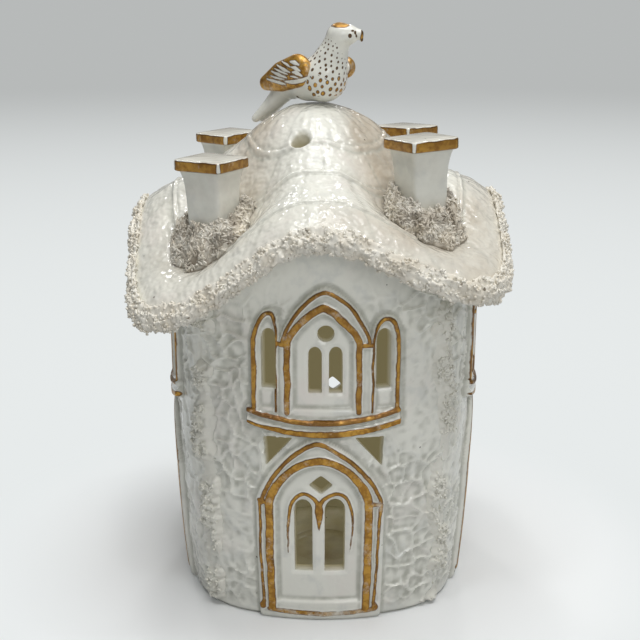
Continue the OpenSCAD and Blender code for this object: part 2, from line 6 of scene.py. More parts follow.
import logging
import math
from collections.abc import Callable, Sequence
from dataclasses import dataclass, field
from enum import Enum

import bpy
import numpy as np
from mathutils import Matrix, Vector


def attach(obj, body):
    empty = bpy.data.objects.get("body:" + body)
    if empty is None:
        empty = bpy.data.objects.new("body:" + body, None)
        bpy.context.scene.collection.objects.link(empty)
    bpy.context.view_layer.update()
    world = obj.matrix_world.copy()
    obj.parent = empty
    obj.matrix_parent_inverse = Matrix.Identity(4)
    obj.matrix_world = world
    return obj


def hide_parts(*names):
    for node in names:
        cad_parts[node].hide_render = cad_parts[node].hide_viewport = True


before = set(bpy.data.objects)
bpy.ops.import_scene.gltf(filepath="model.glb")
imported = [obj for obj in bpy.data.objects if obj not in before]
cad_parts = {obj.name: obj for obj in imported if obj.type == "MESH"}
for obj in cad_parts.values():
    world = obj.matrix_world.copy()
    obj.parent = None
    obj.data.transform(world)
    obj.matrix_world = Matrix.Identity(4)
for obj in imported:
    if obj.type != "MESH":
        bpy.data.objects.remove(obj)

MM = 0.001
HOUSE = "house"
STAND = "stand"
# Depth of a point that lies far outside all paint.
UNPAINTED = -9.0
# Numbers for the mixing of bits in lattice.
HASH_STRIDE, HASH_START = 2654435761, 12345
HASH_FIRST, HASH_SECOND = np.uint32(0x85EBCA6B), np.uint32(0xC2B2AE35)
LOG = logging.getLogger("burner")
Array = np.ndarray


class Place(Enum):
    """A named place on the burner."""

    @property
    def label(self) -> str:
        """The place as the names of nodes say it."""
        return self.name.lower()


class Side(Place):
    """The walls of the tower, by their quarter turns from the front."""

    FRONT = 0
    RIGHT = 1
    BACK = 2
    LEFT = 3


class Corner(Place):
    """The corners of the tower, by the signs of x and y."""

    FRONT_LEFT = (-1, -1)
    FRONT_RIGHT = (1, -1)
    BACK_RIGHT = (1, 1)
    BACK_LEFT = (-1, 1)

    @property
    def number(self) -> int:
        """Quarter turns from the front left corner."""
        return list(Corner).index(self)


class Hand(Place):
    """The two sides of the bird, by the sign of y in its own frame."""

    RIGHT = -1
    LEFT = 1


def lattice(cells: Array, seed: int) -> Array:
    """Repeatable values from 0 to 1, one for each whole-number cell, by mixing the bits of its coordinates.

    Args:
        cells: Whole numbers, with one cell along the last axis.
        seed: Picks one set of values.

    Returns:
        An array of the cells' leading shape.
    """
    mixed = np.full(cells.shape[:-1], (seed * HASH_STRIDE + HASH_START) % 2**32, dtype=np.uint32)
    for axis in range(cells.shape[-1]):
        mixed = (mixed ^ cells[..., axis].astype(np.int64).astype(np.uint32)) * HASH_FIRST
        mixed = (mixed ^ (mixed >> np.uint32(13))) * HASH_SECOND
        mixed = mixed ^ (mixed >> np.uint32(16))
    return mixed / 2.0**32


def soft_noise(points: Array, size: float, seed: int, layers: int = 1) -> Array:
    """Layered value noise: lattice values blended by a smooth step along each axis, each layer half as large.

    Args:
        points: Points in millimetres, along the last axis.
        size: Size of the largest lumps.
        seed: Picks one noise.
        layers: How many layers are added.

    Returns:
        Values from about -1 to 1.
    """
    total = np.zeros(points.shape[:-1])
    for layer in range(layers):
        scaled = points * (2**layer / size)
        cell = np.floor(scaled)
        part = scaled - cell
        part = part * part * (3 - 2 * part)
        cell = cell.astype(np.int64)
        for corner in np.ndindex(*(2,) * points.shape[-1]):
            weight = np.prod(np.where(np.array(corner, bool), part, 1 - part), axis=-1)
            total += 0.5**layer * weight * (2 * lattice(cell + np.array(corner), seed + 31 * layer) - 1)
    return total


def crackle(points: Array, size: float, seed: int) -> tuple[Array, Array]:
    """Distances to the nearest and second nearest of one scattered point per cell.

    Args:
        points: Points in millimetres, along the last axis.
        size: Size of a cell.
        seed: Picks one scatter.

    Returns:
        The two distances in millimetres.
    """
    axes = points.shape[-1]
    scaled = points / size
    cell = np.floor(scaled).astype(np.int64)
    near = np.full(points.shape[:-1], 9.0)
    second = near.copy()
    for shift in np.ndindex(*(3,) * axes):
        other = cell + np.array(shift) - 1
        spot = np.stack([lattice(other, seed + axis) for axis in range(axes)], axis=-1)
        away = np.linalg.norm(other + 0.1 + 0.8 * spot - scaled, axis=-1)
        second = np.minimum(second, np.maximum(near, away))
        near = np.minimum(near, away)
    return near * size, second * size


def ramp(value: Array, low: float, high: float) -> Array:
    """Smooth step from 0 at low to 1 at high."""
    part = np.clip((value - low) / (high - low), 0, 1)
    return part * part * (3 - 2 * part)


def bell(value: Array, width: float) -> Array:
    """Bell curve: the exponential of minus the square of a value over a width."""
    return np.exp(-((value / width) ** 2))


def crumbs(points: Array, size: float, seed: int, reach: float = 0.62) -> Array:
    """Round crumbs: a dome from 0 to 1, as wide as a share of a cell, over one scattered point per cell."""
    near, _ = crackle(points, size, seed)
    return np.sqrt(np.clip(1 - (near / (reach * size)) ** 2, 0, 1))


def tuft(row: Array, column: Array) -> Array:
    """Repeatable values from 0 to 1: the fraction of a large multiple of a sine of both numbers."""
    value = np.sin(np.radians(row * 127.1 + column * 311.7)) * 4375.85
    return value - np.floor(value)


def refined(values: Array, rows: int, columns: int) -> Array:
    """Values between those of a coarse grid, straight along both axes.

    Args:
        values: The coarse grid along the first two axes.
        rows: Steps for each coarse row.
        columns: Steps for each coarse column.

    Returns:
        The fine grid.
    """
    for axis, steps in ((0, rows), (1, columns)):
        place = np.linspace(0, values.shape[axis] - 1, (values.shape[axis] - 1) * steps + 1)
        low = np.minimum(place.astype(int), values.shape[axis] - 2)
        share = (place - low).reshape([-1 if k == axis else 1 for k in range(values.ndim)])
        values = np.take(values, low, axis) * (1 - share) + np.take(values, low + 1, axis) * share
    return values


def spline(points: Sequence[Sequence[float]], steps: int = 8) -> Array:
    """A smooth curve through points: a cubic between each two, with slopes from their neighbours.

    Args:
        points: The points, in order.
        steps: Samples between two points.

    Returns:
        The sampled curve, one point per row.
    """
    knots = np.asarray(points, float)
    padded = np.vstack([2 * knots[0] - knots[1], knots, 2 * knots[-1] - knots[-2]])
    part = np.linspace(0, 1, steps, endpoint=False)[:, None]
    runs = []
    for a, b, c, d in zip(padded, padded[1:], padded[2:], padded[3:]):
        square, cube = 2 * a - 5 * b + 4 * c - d, 3 * b - a - 3 * c + d
        runs.append(0.5 * (2 * b + (c - a) * part + square * part**2 + cube * part**3))
    return np.vstack([*runs, knots[-1:]])


def grid_quads(rows: int, columns: int, wrap: bool = False) -> Array:
    """Quads of a grid of points that is stored row by row.

    Args:
        rows: Number of rows.
        columns: Number of points in a row.
        wrap: True if each row closes on itself.

    Returns:
        Four indices per row.
    """
    index = np.arange(rows * columns).reshape(rows, columns)
    if wrap:
        index = np.hstack([index, index[:, :1]])
    corners = [index[:-1, :-1], index[:-1, 1:], index[1:, 1:], index[1:, :-1]]
    return np.stack(corners, axis=-1).reshape(-1, 4)


def parted(quads: Array, away: Array) -> tuple[Array, Array]:
    """Parts a sheet at the edge of its holes.

    Args:
        quads: Quads of the sheet.
        away: Distance of each point of the sheet's grid outside the nearest hole.

    Returns:
        The quads outside, and a mask of the grid's points between quads outside and inside.
    """
    keep = away.ravel()[quads].mean(axis=1) > 0
    touched = np.zeros((2, away.size), bool)
    touched[0, quads[keep]] = True
    touched[1, quads[~keep]] = True
    return quads[keep], (touched[0] & touched[1]).reshape(away.shape)


def round_angles(count: int) -> Array:
    """Angles of equal steps round a circle."""
    return np.arange(count) * 2 * np.pi / count


def polar(reach: Array, angle: Array, height: Array) -> Array:
    """Points at reaches along bearings and at heights."""
    return np.stack([reach * np.cos(angle), reach * np.sin(angle), height], axis=-1)


def rotated(x: Array, y: Array, angle: float) -> tuple[Array, Array]:
    """Plan points turned about the origin."""
    cos, sin = math.cos(angle), math.sin(angle)
    return x * cos - y * sin, x * sin + y * cos


def quarter_turned(x: Array, y: Array, quarters: int) -> tuple[Array, Array]:
    """Plan points carried round the tower's axis by quarter turns."""
    for _ in range(quarters % 4):
        x, y = -y, x
    return x, y


def both_skins(outer: Array, inner: float) -> Array:
    """One number for each point of a shell: an array on its outer skin, one value on its inner skin."""
    return np.append(outer.ravel(), np.full(outer.size, inner))


def rim_edges(quads: Array) -> Array:
    """The edges that only one quad uses.

    Args:
        quads: Four indices per row.

    Returns:
        Two indices per row, in the direction of the edge's quad.
    """
    edges = np.concatenate([quads[:, [i, (i + 1) % 4]] for i in range(4)])
    key = edges.min(axis=1).astype(np.int64) * (quads.max() + 1) + edges.max(axis=1)
    _, first, count = np.unique(key, return_index=True, return_counts=True)
    return edges[first[count == 1]]


def shell_quads(quads: Array, shift: int) -> Array:
    """Closes a sheet into a shell with its copy, by strips along every open edge.

    Args:
        quads: Quads of the sheet.
        shift: How far the copy's indices lie above the sheet's.

    Returns:
        Quads of the closed shell.
    """
    rim = rim_edges(quads)
    strip = np.stack([rim[:, 1], rim[:, 0], rim[:, 0] + shift, rim[:, 1] + shift], axis=-1)
    return np.concatenate([quads, quads[:, ::-1] + shift, strip])


def tube_faces(rings: int, around: int) -> tuple[Array, Array]:
    """Faces of a tube of rings that two fans close on two added end points.

    Args:
        rings: Number of rings.
        around: Points in a ring.

    Returns:
        The quads, and the fans' triangles.
    """
    quads = grid_quads(rings, around, wrap=True)
    here = np.arange(around)
    after = (here + 1) % around
    base = (rings - 1) * around
    first = np.stack([after, here, np.full(around, rings * around)], axis=-1)
    last = np.stack([base + here, base + after, np.full(around, rings * around + 1)], axis=-1)
    return quads, np.concatenate([first, last])


def outward(points: Array, faces: list[Array]) -> list[Array]:
    """Turns the faces of a closed mesh to point out, by the sign of the volume that they close.

    Args:
        points: One point per row.
        faces: Arrays of indices, each with one count of corners.

    Returns:
        The faces.
    """
    volume = 0.0
    for face in faces:
        for k in range(1, face.shape[1] - 1):
            a, b, c = (points[face[:, i]] for i in (0, k, k + 1))
            volume += np.einsum("ij,ij->", a, np.cross(b, c))
    return faces if volume > 0 else [face[:, ::-1] for face in faces]


def surface_net(values: Array, origin: Array, step: float) -> tuple[Array, Array]:
    """The surface where a field on a box of points is zero.

    Each box cell that the surface crosses gets one point, the mean of the crossings on its twelve edges, and
    each edge with a crossing gets the quad of the four cells around it.

    Args:
        values: The field, negative inside.
        origin: Place of the first value.
        step: Distance between neighbouring values.

    Returns:
        The points, and the quads.
    """
    shape = np.array(values.shape) - 1
    corners = np.array(list(np.ndindex(2, 2, 2)))

    def at(corner: Array) -> Array:
        """The field at one corner of every cell."""
        return values[tuple(slice(c, c + n) for c, n in zip(corner, shape))]

    total = np.zeros((*shape, 3))
    count = np.zeros(shape)
    for corner in corners:
        for axis in np.nonzero(corner == 0)[0]:
            near, far = at(corner), at(corner + np.eye(3, dtype=int)[axis])
            crossed = (near < 0) != (far < 0)
            share = np.where(crossed, near / np.where(crossed, near - far, 1), 0)
            total += crossed[..., None] * (corner + share[..., None] * np.eye(3)[axis])
            count += crossed
    used = count > 0
    number = np.cumsum(used.ravel()).reshape(shape) - 1
    cells = np.argwhere(used)
    points = origin + step * (cells + total[used] / count[used][:, None])
    quads = []
    for axis in range(3):
        one, two = (axis + 1) % 3, (axis + 2) % 3
        low = np.moveaxis(values, (axis, one, two), (0, 1, 2))
        ids = np.moveaxis(number, (axis, one, two), (0, 1, 2))
        start, end = low[:-1, 1:-1, 1:-1], low[1:, 1:-1, 1:-1]
        around = np.stack([ids[:, :-1, :-1], ids[:, 1:, :-1], ids[:, 1:, 1:], ids[:, :-1, 1:]], axis=-1)
        quads.append(around[(start < 0) & (end >= 0)])
        quads.append(around[(start >= 0) & (end < 0)][:, ::-1])
    return points, np.concatenate(quads)


def write_piece(
    name: str,
    points: Array,
    faces: list[Array],
    attributes: dict[str, Array] | None = None,
    sharp_angle: float = 50,
) -> bpy.types.Object:
    """Makes a smooth-shaded object at the origin from points in millimetres.

    Args:
        name: Name of the object.
        points: One point per row.
        faces: Arrays of indices, each with one count of corners.
        attributes: A number for each point, by name.
        sharp_angle: Edges that turn by more degrees stay sharp.

    Returns:
        The object, linked to the scene.
    """
    used = np.unique(np.concatenate([face.ravel() for face in faces]))
    place = np.zeros(len(points), np.int64)
    place[used] = np.arange(len(used))
    faces = outward(points, faces)
    mesh = bpy.data.meshes.new(name)
    mesh.vertices.add(len(used))
    mesh.vertices.foreach_set("co", (points[used] * MM).astype(np.float32).ravel())
    loops = np.concatenate([place[face].ravel() for face in faces]).astype(np.int32)
    totals = np.concatenate([np.full(len(face), face.shape[1]) for face in faces])
    mesh.loops.add(len(loops))
    mesh.loops.foreach_set("vertex_index", loops)
    mesh.polygons.add(len(totals))
    mesh.polygons.foreach_set("loop_start", (np.cumsum(totals) - totals).astype(np.int32))
    mesh.update(calc_edges=True)
    mesh.validate()
    mesh.shade_smooth()
    mesh.set_sharp_from_angle(angle=math.radians(sharp_angle))
    for key, values in (attributes or {}).items():
        layer = mesh.attributes.new(key, "FLOAT", "POINT")
        layer.data.foreach_set("value", values[used].astype(np.float32))
    piece = bpy.data.objects.new(name, mesh)
    bpy.context.scene.collection.objects.link(piece)
    return piece


def dress(piece: bpy.types.Object, material: bpy.types.Material, body: str, slot: str, *nodes: str) -> None:
    """Gives a piece its finish and its place in the frame.

    Args:
        piece: The object.
        material: Its finish.
        body: The body that it rides on.
        slot: Its material slot; not used.
        nodes: The CAD nodes that it stands for.
    """
    piece.data.materials.append(material)
    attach(piece, body)
    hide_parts(*nodes)
    LOG.info("%s: %d faces on %s", piece.name, len(piece.data.polygons), body)


class NodeSheet:
    """Adds and links the nodes of one shader tree."""

    noise_roughness = 0.55

    def __init__(self, tree: bpy.types.NodeTree) -> None:
        """Starts on an empty tree."""
        self.tree = tree
        tree.nodes.clear()

    def feed(self, target: bpy.types.NodeSocket, value: object) -> None:
        """Links a socket to an input, or sets the input's own value.

        Args:
            target: The input.
            value: The socket or the value.
        """
        if isinstance(value, bpy.types.NodeSocket):
            self.tree.links.new(value, target)
        else:
            target.default_value = value

    def add(self, kind: str, inputs: dict | None = None, **settings: object) -> bpy.types.Node:
        """Adds a node.

        Args:
            kind: Name of the node's type.
            inputs: Sockets to link, or values to set, by the input's name or number.
            settings: The node's own properties.

        Returns:
            The node.
        """
        node = self.tree.nodes.new(kind)
        for key, value in settings.items():
            setattr(node, key, value)
        for key, value in (inputs or {}).items():
            self.feed(node.inputs[key], value)
        return node

    def math(self, operation: str, first: object, second: object = 0.0) -> bpy.types.NodeSocket:
        """The result of one sum on two values."""
        return self.add("ShaderNodeMath", {0: first, 1: second}, operation=operation).outputs[0]

    def times(self, first: object, second: object) -> bpy.types.NodeSocket:
        """The product of two values."""
        return self.math("MULTIPLY", first, second)

    def plus(self, first: object, second: object) -> bpy.types.NodeSocket:
        """The sum of two values."""
        return self.math("ADD", first, second)

    def span(
        self, value: object, low: float, high: float, start: float = 0, end: float = 1
    ) -> bpy.types.NodeSocket:
        """A value carried smoothly from one range to another."""
        inputs = {"Value": value, "From Min": low, "From Max": high, "To Min": start, "To Max": end}
        return self.add("ShaderNodeMapRange", inputs, interpolation_type="SMOOTHSTEP").outputs["Result"]

    def mix(self, share: object, first: object, second: object) -> bpy.types.NodeSocket:
        """A colour between two colours."""
        return self.add("ShaderNodeMix", {0: share, 6: first, 7: second}, data_type="RGBA").outputs[2]

    def noise(self, place: object, size: float, detail: float = 2) -> bpy.types.NodeSocket:
        """Noise from 0 to 1 with lumps of a size in millimetres."""
        inputs = {"Vector": place, "Scale": 1 / (size * MM), "Detail": detail}
        return self.add("ShaderNodeTexNoise", {**inputs, "Roughness": self.noise_roughness}).outputs[0]

    def sway(self, place: object, size: float, detail: float, depth: float) -> bpy.types.NodeSocket:
        """Noise about zero that spans a depth."""
        return self.times(self.math("SUBTRACT", self.noise(place, size, detail), 0.5), depth)

    def specks(self, place: object, size: float, reach: float, share: float) -> bpy.types.NodeSocket:
        """A mask of small dots, one in some cells of a pattern of cells.

        Args:
            place: Coordinates.
            size: Size of a cell in millimetres.
            reach: Radius of the largest dot, as a share of a cell.
            share: Share of the cells that have a dot.

        Returns:
            The mask.
        """
        cells = self.add("ShaderNodeTexVoronoi", {"Vector": place, "Scale": 1 / (size * MM)})
        tone = self.add("ShaderNodeSeparateColor", {"Color": cells.outputs["Color"]}).outputs[0]
        chosen = self.math("LESS_THAN", tone, share)
        small = self.times(self.math("DIVIDE", tone, share), reach)
        dot = self.math("LESS_THAN", cells.outputs["Distance"], small)
        return self.times(dot, chosen)

    def attribute(self, name: str) -> bpy.types.NodeSocket:
        """The mesh's own number of that name."""
        return self.add("ShaderNodeAttribute", attribute_name=name).outputs["Fac"]

    def attributes(self, *keys: str) -> dict[str, bpy.types.NodeSocket]:
        """The mesh's own numbers, by the names of the inputs that they feed."""
        return {key: self.attribute(key.lower()) for key in keys}

    def coordinates(self) -> bpy.types.NodeSocket:
        """The object's own coordinates."""
        return self.add("ShaderNodeTexCoord").outputs["Object"]


def node_group(name: str, inputs: dict[str, str], outputs: dict[str, str]) -> tuple[NodeSheet, dict, dict]:
    """Starts a shader node group.

    Args:
        name: Name of the group.
        inputs: Socket kinds by name.
        outputs: Socket kinds by name.

    Returns:
        The sheet, the group's inner sources by name and its inner targets by name.
    """
    tree = bpy.data.node_groups.new(name, "ShaderNodeTree")
    sheet = NodeSheet(tree)
    for sockets, direction in ((inputs, "INPUT"), (outputs, "OUTPUT")):
        for key, kind in sockets.items():
            tree.interface.new_socket(key, in_out=direction, socket_type=kind)
    source = sheet.add("NodeGroupInput")
    target = sheet.add("NodeGroupOutput")
    return sheet, {k: source.outputs[k] for k in inputs}, {k: target.inputs[k] for k in outputs}


VECTOR, FLOAT, COLOUR = "NodeSocketVector", "NodeSocketFloat", "NodeSocketColor"


@dataclass(frozen=True)
class GlazeEffect:
    """Thick clear glaze over white porcelain: tinted pools, painted shade in hollows, painted shade and a
    painted glow on inner skins, stains and kiln specks.
    """

    white: tuple = (0.83, 0.826, 0.75, 1)
    pink: tuple = (0.80, 0.755, 0.695, 1)
    grey: tuple = (0.70, 0.705, 0.655, 1)
    # Colour of the painted shade in hollows, in grooves and on the chimney shafts.
    hollow: tuple = (0.46, 0.46, 0.395, 1)
    stain: tuple = (0.50, 0.43, 0.335, 1)
    # Colour of the painted shade on inner skins and in the vent's bore.
    soot: tuple = (0.30, 0.27, 0.18, 1)
    speck: tuple = (0.09, 0.07, 0.05, 1)
    cloud_size: float = 14
    pool_size: float = 5
    fine_size: float = 2.2
    speck_cell: float = 4.2
    speck_reach: float = 0.075
    speck_share: float = 0.3
    speck_strength: float = 0.8
    roughness: tuple = (0.05, 0.13)
    shade_roughness: float = 0.5
    ripple_sizes: tuple = (3.5, 1.3)
    mottle_sizes: tuple = (2.6, 1.1)
    mottle_depth: float = 4.2

    def build(self) -> bpy.types.NodeTree:
        """Makes the node group.

        Returns:
            A group that puts out a colour, a roughness and a height.
        """
        sheet, ins, outs = node_group(
            "fired_glaze",
            {"Position": VECTOR, "Hollow": FLOAT, "Stain": FLOAT, "Soot": FLOAT, "Mottle": FLOAT},
            {"Colour": COLOUR, "Roughness": FLOAT, "Height": FLOAT},
        )
        place = ins["Position"]
        clouds = sheet.noise(place, self.cloud_size, 3)
        fine = sheet.noise(place, self.fine_size, 3)
        colour = sheet.mix(sheet.span(clouds, 0.50, 0.72, 0, 0.7), self.white, self.pink)
        pools = sheet.span(sheet.noise(place, self.pool_size, 5), 0.5, 0.7, 0, 0.75)
        colour = sheet.mix(pools, colour, self.grey)
        stained = sheet.times(ins["Stain"], sheet.span(fine, 0.25, 0.7, 0.75, 1))
        colour = sheet.mix(stained, colour, self.stain)
        # Painted shade: the mesh's hollow share darkens the glaze towards the hollow colour.
        hollow_shade = sheet.times(ins["Hollow"], sheet.span(fine, 0.2, 0.8, 0.5, 1))
        colour = sheet.mix(hollow_shade, colour, self.hollow)
        specks = sheet.specks(place, self.speck_cell, self.speck_reach, self.speck_share)
        colour = sheet.mix(sheet.times(specks, self.speck_strength), colour, self.speck)
        sheet.feed(outs["Colour"], sheet.mix(ins["Soot"], colour, self.soot))
        rough = sheet.span(fine, 0.3, 0.8, *self.roughness)
        sheet.feed(outs["Roughness"], sheet.plus(rough, sheet.times(ins["Soot"], self.shade_roughness)))
        broad, small = self.ripple_sizes
        ripple = sheet.plus(sheet.noise(place, broad, 2), sheet.times(sheet.noise(place, small, 2), 0.45))
        broad, small = self.mottle_sizes
        coarse = sheet.plus(sheet.noise(place, broad, 1), sheet.times(sheet.noise(place, small, 0), 0.4))
        mottle = sheet.times(coarse, sheet.times(ins["Mottle"], self.mottle_depth))
        sheet.feed(outs["Height"], sheet.plus(ripple, mottle))
        return sheet.tree


@dataclass(frozen=True)
class GiltEffect:
    """Hand-brushed gilding: soft worn edges, brush marks and darker pools where the brush rested."""

    bright: tuple = (0.57, 0.31, 0.045, 1)
    deep: tuple = (0.34, 0.16, 0.016, 1)
    dark: tuple = (0.095, 0.038, 0.005, 1)
    brown: tuple = (0.15, 0.062, 0.014, 1)
    mark_size: float = 1.5
    ragged_depth: float = 0.26
    grain_size: float = 0.7
    grain_depth: float = 0.7
    loss_size: float = 3.4
    loss_depth: float = 1.2
    wear_strength: float = 1.4
    pool_size: float = 3.6
    brown_size: float = 6

    def build(self) -> bpy.types.NodeTree:
        """Makes the node group.

        Returns:
            A group that puts out a mask, a colour and a roughness.
        """
        sheet, ins, outs = node_group(
            "brushed_gilding",
            {"Position": VECTOR, "Depth": FLOAT, "Wear": FLOAT, "Tone": FLOAT},
            {"Mask": FLOAT, "Colour": COLOUR, "Roughness": FLOAT},
        )
        place = ins["Position"]
        depth = sheet.plus(ins["Depth"], sheet.sway(place, self.mark_size, 3, self.ragged_depth))
        mask = sheet.span(depth, -0.08, 0.1)
        grain = sheet.sway(place, self.grain_size, 2, self.grain_depth)
        broad = sheet.sway(place, self.loss_size, 2, self.loss_depth)
        loss = sheet.plus(sheet.plus(grain, broad), sheet.times(ins["Wear"], self.wear_strength))
        kept = sheet.span(loss, 0.15, 0.85, 1, 0.2)
        sheet.feed(outs["Mask"], sheet.times(mask, kept))
        marks = sheet.noise(place, self.mark_size, 3)
        colour = sheet.mix(sheet.span(marks, 0.38, 0.62), self.deep, self.bright)
        pools = sheet.plus(sheet.noise(place, self.pool_size, 2), sheet.span(depth, 0.04, 0.36, 0.42, 0))
        colour = sheet.mix(sheet.span(pools, 0.54, 0.84, 0, 0.85), colour, self.dark)
        patches = sheet.span(sheet.noise(place, self.brown_size, 2), 0.3, 0.6, 0.35, 1)
        colour = sheet.mix(sheet.times(ins["Tone"], patches), colour, self.brown)
        sheet.feed(outs["Colour"], colour)
        sheet.feed(outs["Roughness"], sheet.span(marks, 0.3, 0.7, 0.44, 0.28))
        return sheet.tree


@dataclass(frozen=True)
class ClayEffect:
    """Shredded clay under thin glaze: cream and grey shreds, with dirt, dark specks and painted shade deep
    between them.
    """

    cream: tuple = (0.80, 0.735, 0.62, 1)
    pale: tuple = (0.87, 0.835, 0.75, 1)
    grey: tuple = (0.69, 0.62, 0.50, 1)
    glaze: tuple = (0.79, 0.78, 0.705, 1)
    # Colour of dirt, of the dark specks and of the painted shade between crumbs.
    dirt: tuple = (0.17, 0.13, 0.085, 1)
    rust: tuple = (0.36, 0.23, 0.10, 1)
    cream_size: float = 5
    grey_size: float = 2.1
    dirt_size: float = 3.2
    dirt_strength: float = 0.55
    rust_cell: float = 4.5
    rust_share: float = 0.24
    black_cell: float = 2.6
    black_share: float = 0.13
    speck_reach: float = 0.2
    grain_size: float = 1.2

    def build(self) -> bpy.types.NodeTree:
        """Makes the node group.

        Returns:
            A group that puts out a colour and a roughness.
        """
        sheet, ins, outs = node_group(
            "shredded_clay",
            {"Position": VECTOR, "Depth": FLOAT, "Dirt": FLOAT, "Glazed": FLOAT},
            {"Colour": COLOUR, "Roughness": FLOAT},
        )
        place = ins["Position"]
        creamy = sheet.span(sheet.noise(place, self.cream_size, 3), 0.36, 0.66)
        colour = sheet.mix(creamy, self.pale, self.cream)
        greyed = sheet.span(sheet.noise(place, self.grey_size, 3), 0.48, 0.72, 0, 0.7)
        colour = sheet.mix(greyed, colour, self.grey)
        colour = sheet.mix(ins["Glazed"], colour, self.glaze)
        rusty = sheet.specks(place, self.rust_cell, self.speck_reach, self.rust_share)
        colour = sheet.mix(sheet.times(rusty, sheet.span(ins["Glazed"], 0, 1, 0.75, 0.1)), colour, self.rust)
        soiled = sheet.times(ins["Dirt"], sheet.span(sheet.noise(place, self.dirt_size, 3), 0.4, 0.68))
        colour = sheet.mix(sheet.times(soiled, self.dirt_strength), colour, self.dirt)
        # Painted shade deep between crumbs and under sunk strands, in the dirt colour, stronger on dirtier
        # clay.
        deep = sheet.times(ins["Depth"], sheet.span(ins["Dirt"], 0, 1, 0.4, 0.8))
        colour = sheet.mix(deep, colour, self.dirt)
        black = sheet.specks(place, self.black_cell, self.speck_reach, self.black_share)
        colour = sheet.mix(sheet.times(black, sheet.span(ins["Glazed"], 0, 1, 1, 0.1)), colour, self.dirt)
        sheet.feed(outs["Colour"], colour)
        sheet.feed(outs["Roughness"], sheet.span(sheet.noise(place, self.grain_size, 2), 0.3, 0.7, 0.3, 0.6))
        return sheet.tree


@dataclass
class Finishes:
    """The burner's finishes, made once and shared by its pieces."""

    bump_depth: float = 0.11
    glow: tuple = (0.105, 0.092, 0.05, 1)
    brown: tuple = (0.10, 0.052, 0.018, 1)
    gilt_metal: float = 0.5
    porcelain_ior: float = 1.52
    clay_ior: float = 1.5
    porcelain: bpy.types.Material = field(init=False)
    clay: bpy.types.Material = field(init=False)

    def __post_init__(self) -> None:
        """Builds the two materials."""
        self.porcelain = self.gilded_porcelain()
        self.clay = self.shredded_clay()

    def start(self, name: str) -> tuple[bpy.types.Material, NodeSheet]:
        """A new material and its sheet."""
        material = bpy.data.materials.new(name)
        material.use_nodes = True
        return material, NodeSheet(material.node_tree)

    def finish(self, sheet: NodeSheet, inputs: dict) -> None:
        """Adds the shader with its inputs, and the output."""
        shader = sheet.add("ShaderNodeBsdfPrincipled", inputs)
        sheet.add("ShaderNodeOutputMaterial", {"Surface": shader.outputs["BSDF"]})

    def gilded_porcelain(self) -> bpy.types.Material:
        """White glazed porcelain with gilding and brown enamel where the mesh's own numbers say.

        The inner skin is darkened with painted shade and glows faintly: a painted glow for the light that
        thin porcelain lets through.

        Returns:
            The material.
        """
        material, sheet = self.start("gilded_porcelain")
        place, soot = sheet.coordinates(), sheet.attribute("soot")
        inputs = {"Position": place, "Soot": soot, **sheet.attributes("Hollow", "Stain", "Mottle")}
        glaze = sheet.add("ShaderNodeGroup", inputs, node_tree=GlazeEffect().build())
        inputs = {"Position": place, "Depth": sheet.attribute("gilt"), **sheet.attributes("Wear", "Tone")}
        gilt = sheet.add("ShaderNodeGroup", inputs, node_tree=GiltEffect().build())
        mask = gilt.outputs["Mask"]
        colour = sheet.mix(mask, glaze.outputs["Colour"], gilt.outputs["Colour"])
        painted = sheet.span(sheet.attribute("brown"), 0.01, 0.11)
        rough = {0: mask, 2: glaze.outputs["Roughness"], 3: gilt.outputs["Roughness"]}
        bump = {"Height": glaze.outputs["Height"], "Distance": self.bump_depth * MM}
        self.finish(
            sheet,
            {
                "Base Color": sheet.mix(painted, colour, self.brown),
                "Roughness": sheet.add("ShaderNodeMix", rough).outputs[0],
                "Metallic": sheet.times(mask, self.gilt_metal),
                "Normal": sheet.add("ShaderNodeBump", bump).outputs["Normal"],
                "IOR": self.porcelain_ior,
                "Emission Color": self.glow,
                "Emission Strength": soot,
            },
        )
        return material

    def shredded_clay(self) -> bpy.types.Material:
        """Shredded clay under a thin glaze.

        Returns:
            The material.
        """
        material, sheet = self.start("shredded_clay")
        inputs = {"Position": sheet.coordinates(), **sheet.attributes("Depth", "Dirt", "Glazed")}
        clay = sheet.add("ShaderNodeGroup", inputs, node_tree=ClayEffect().build())
        outputs = {"Base Color": clay.outputs["Colour"], "Roughness": clay.outputs["Roughness"]}
        self.finish(sheet, {**outputs, "IOR": self.clay_ior})
        return material


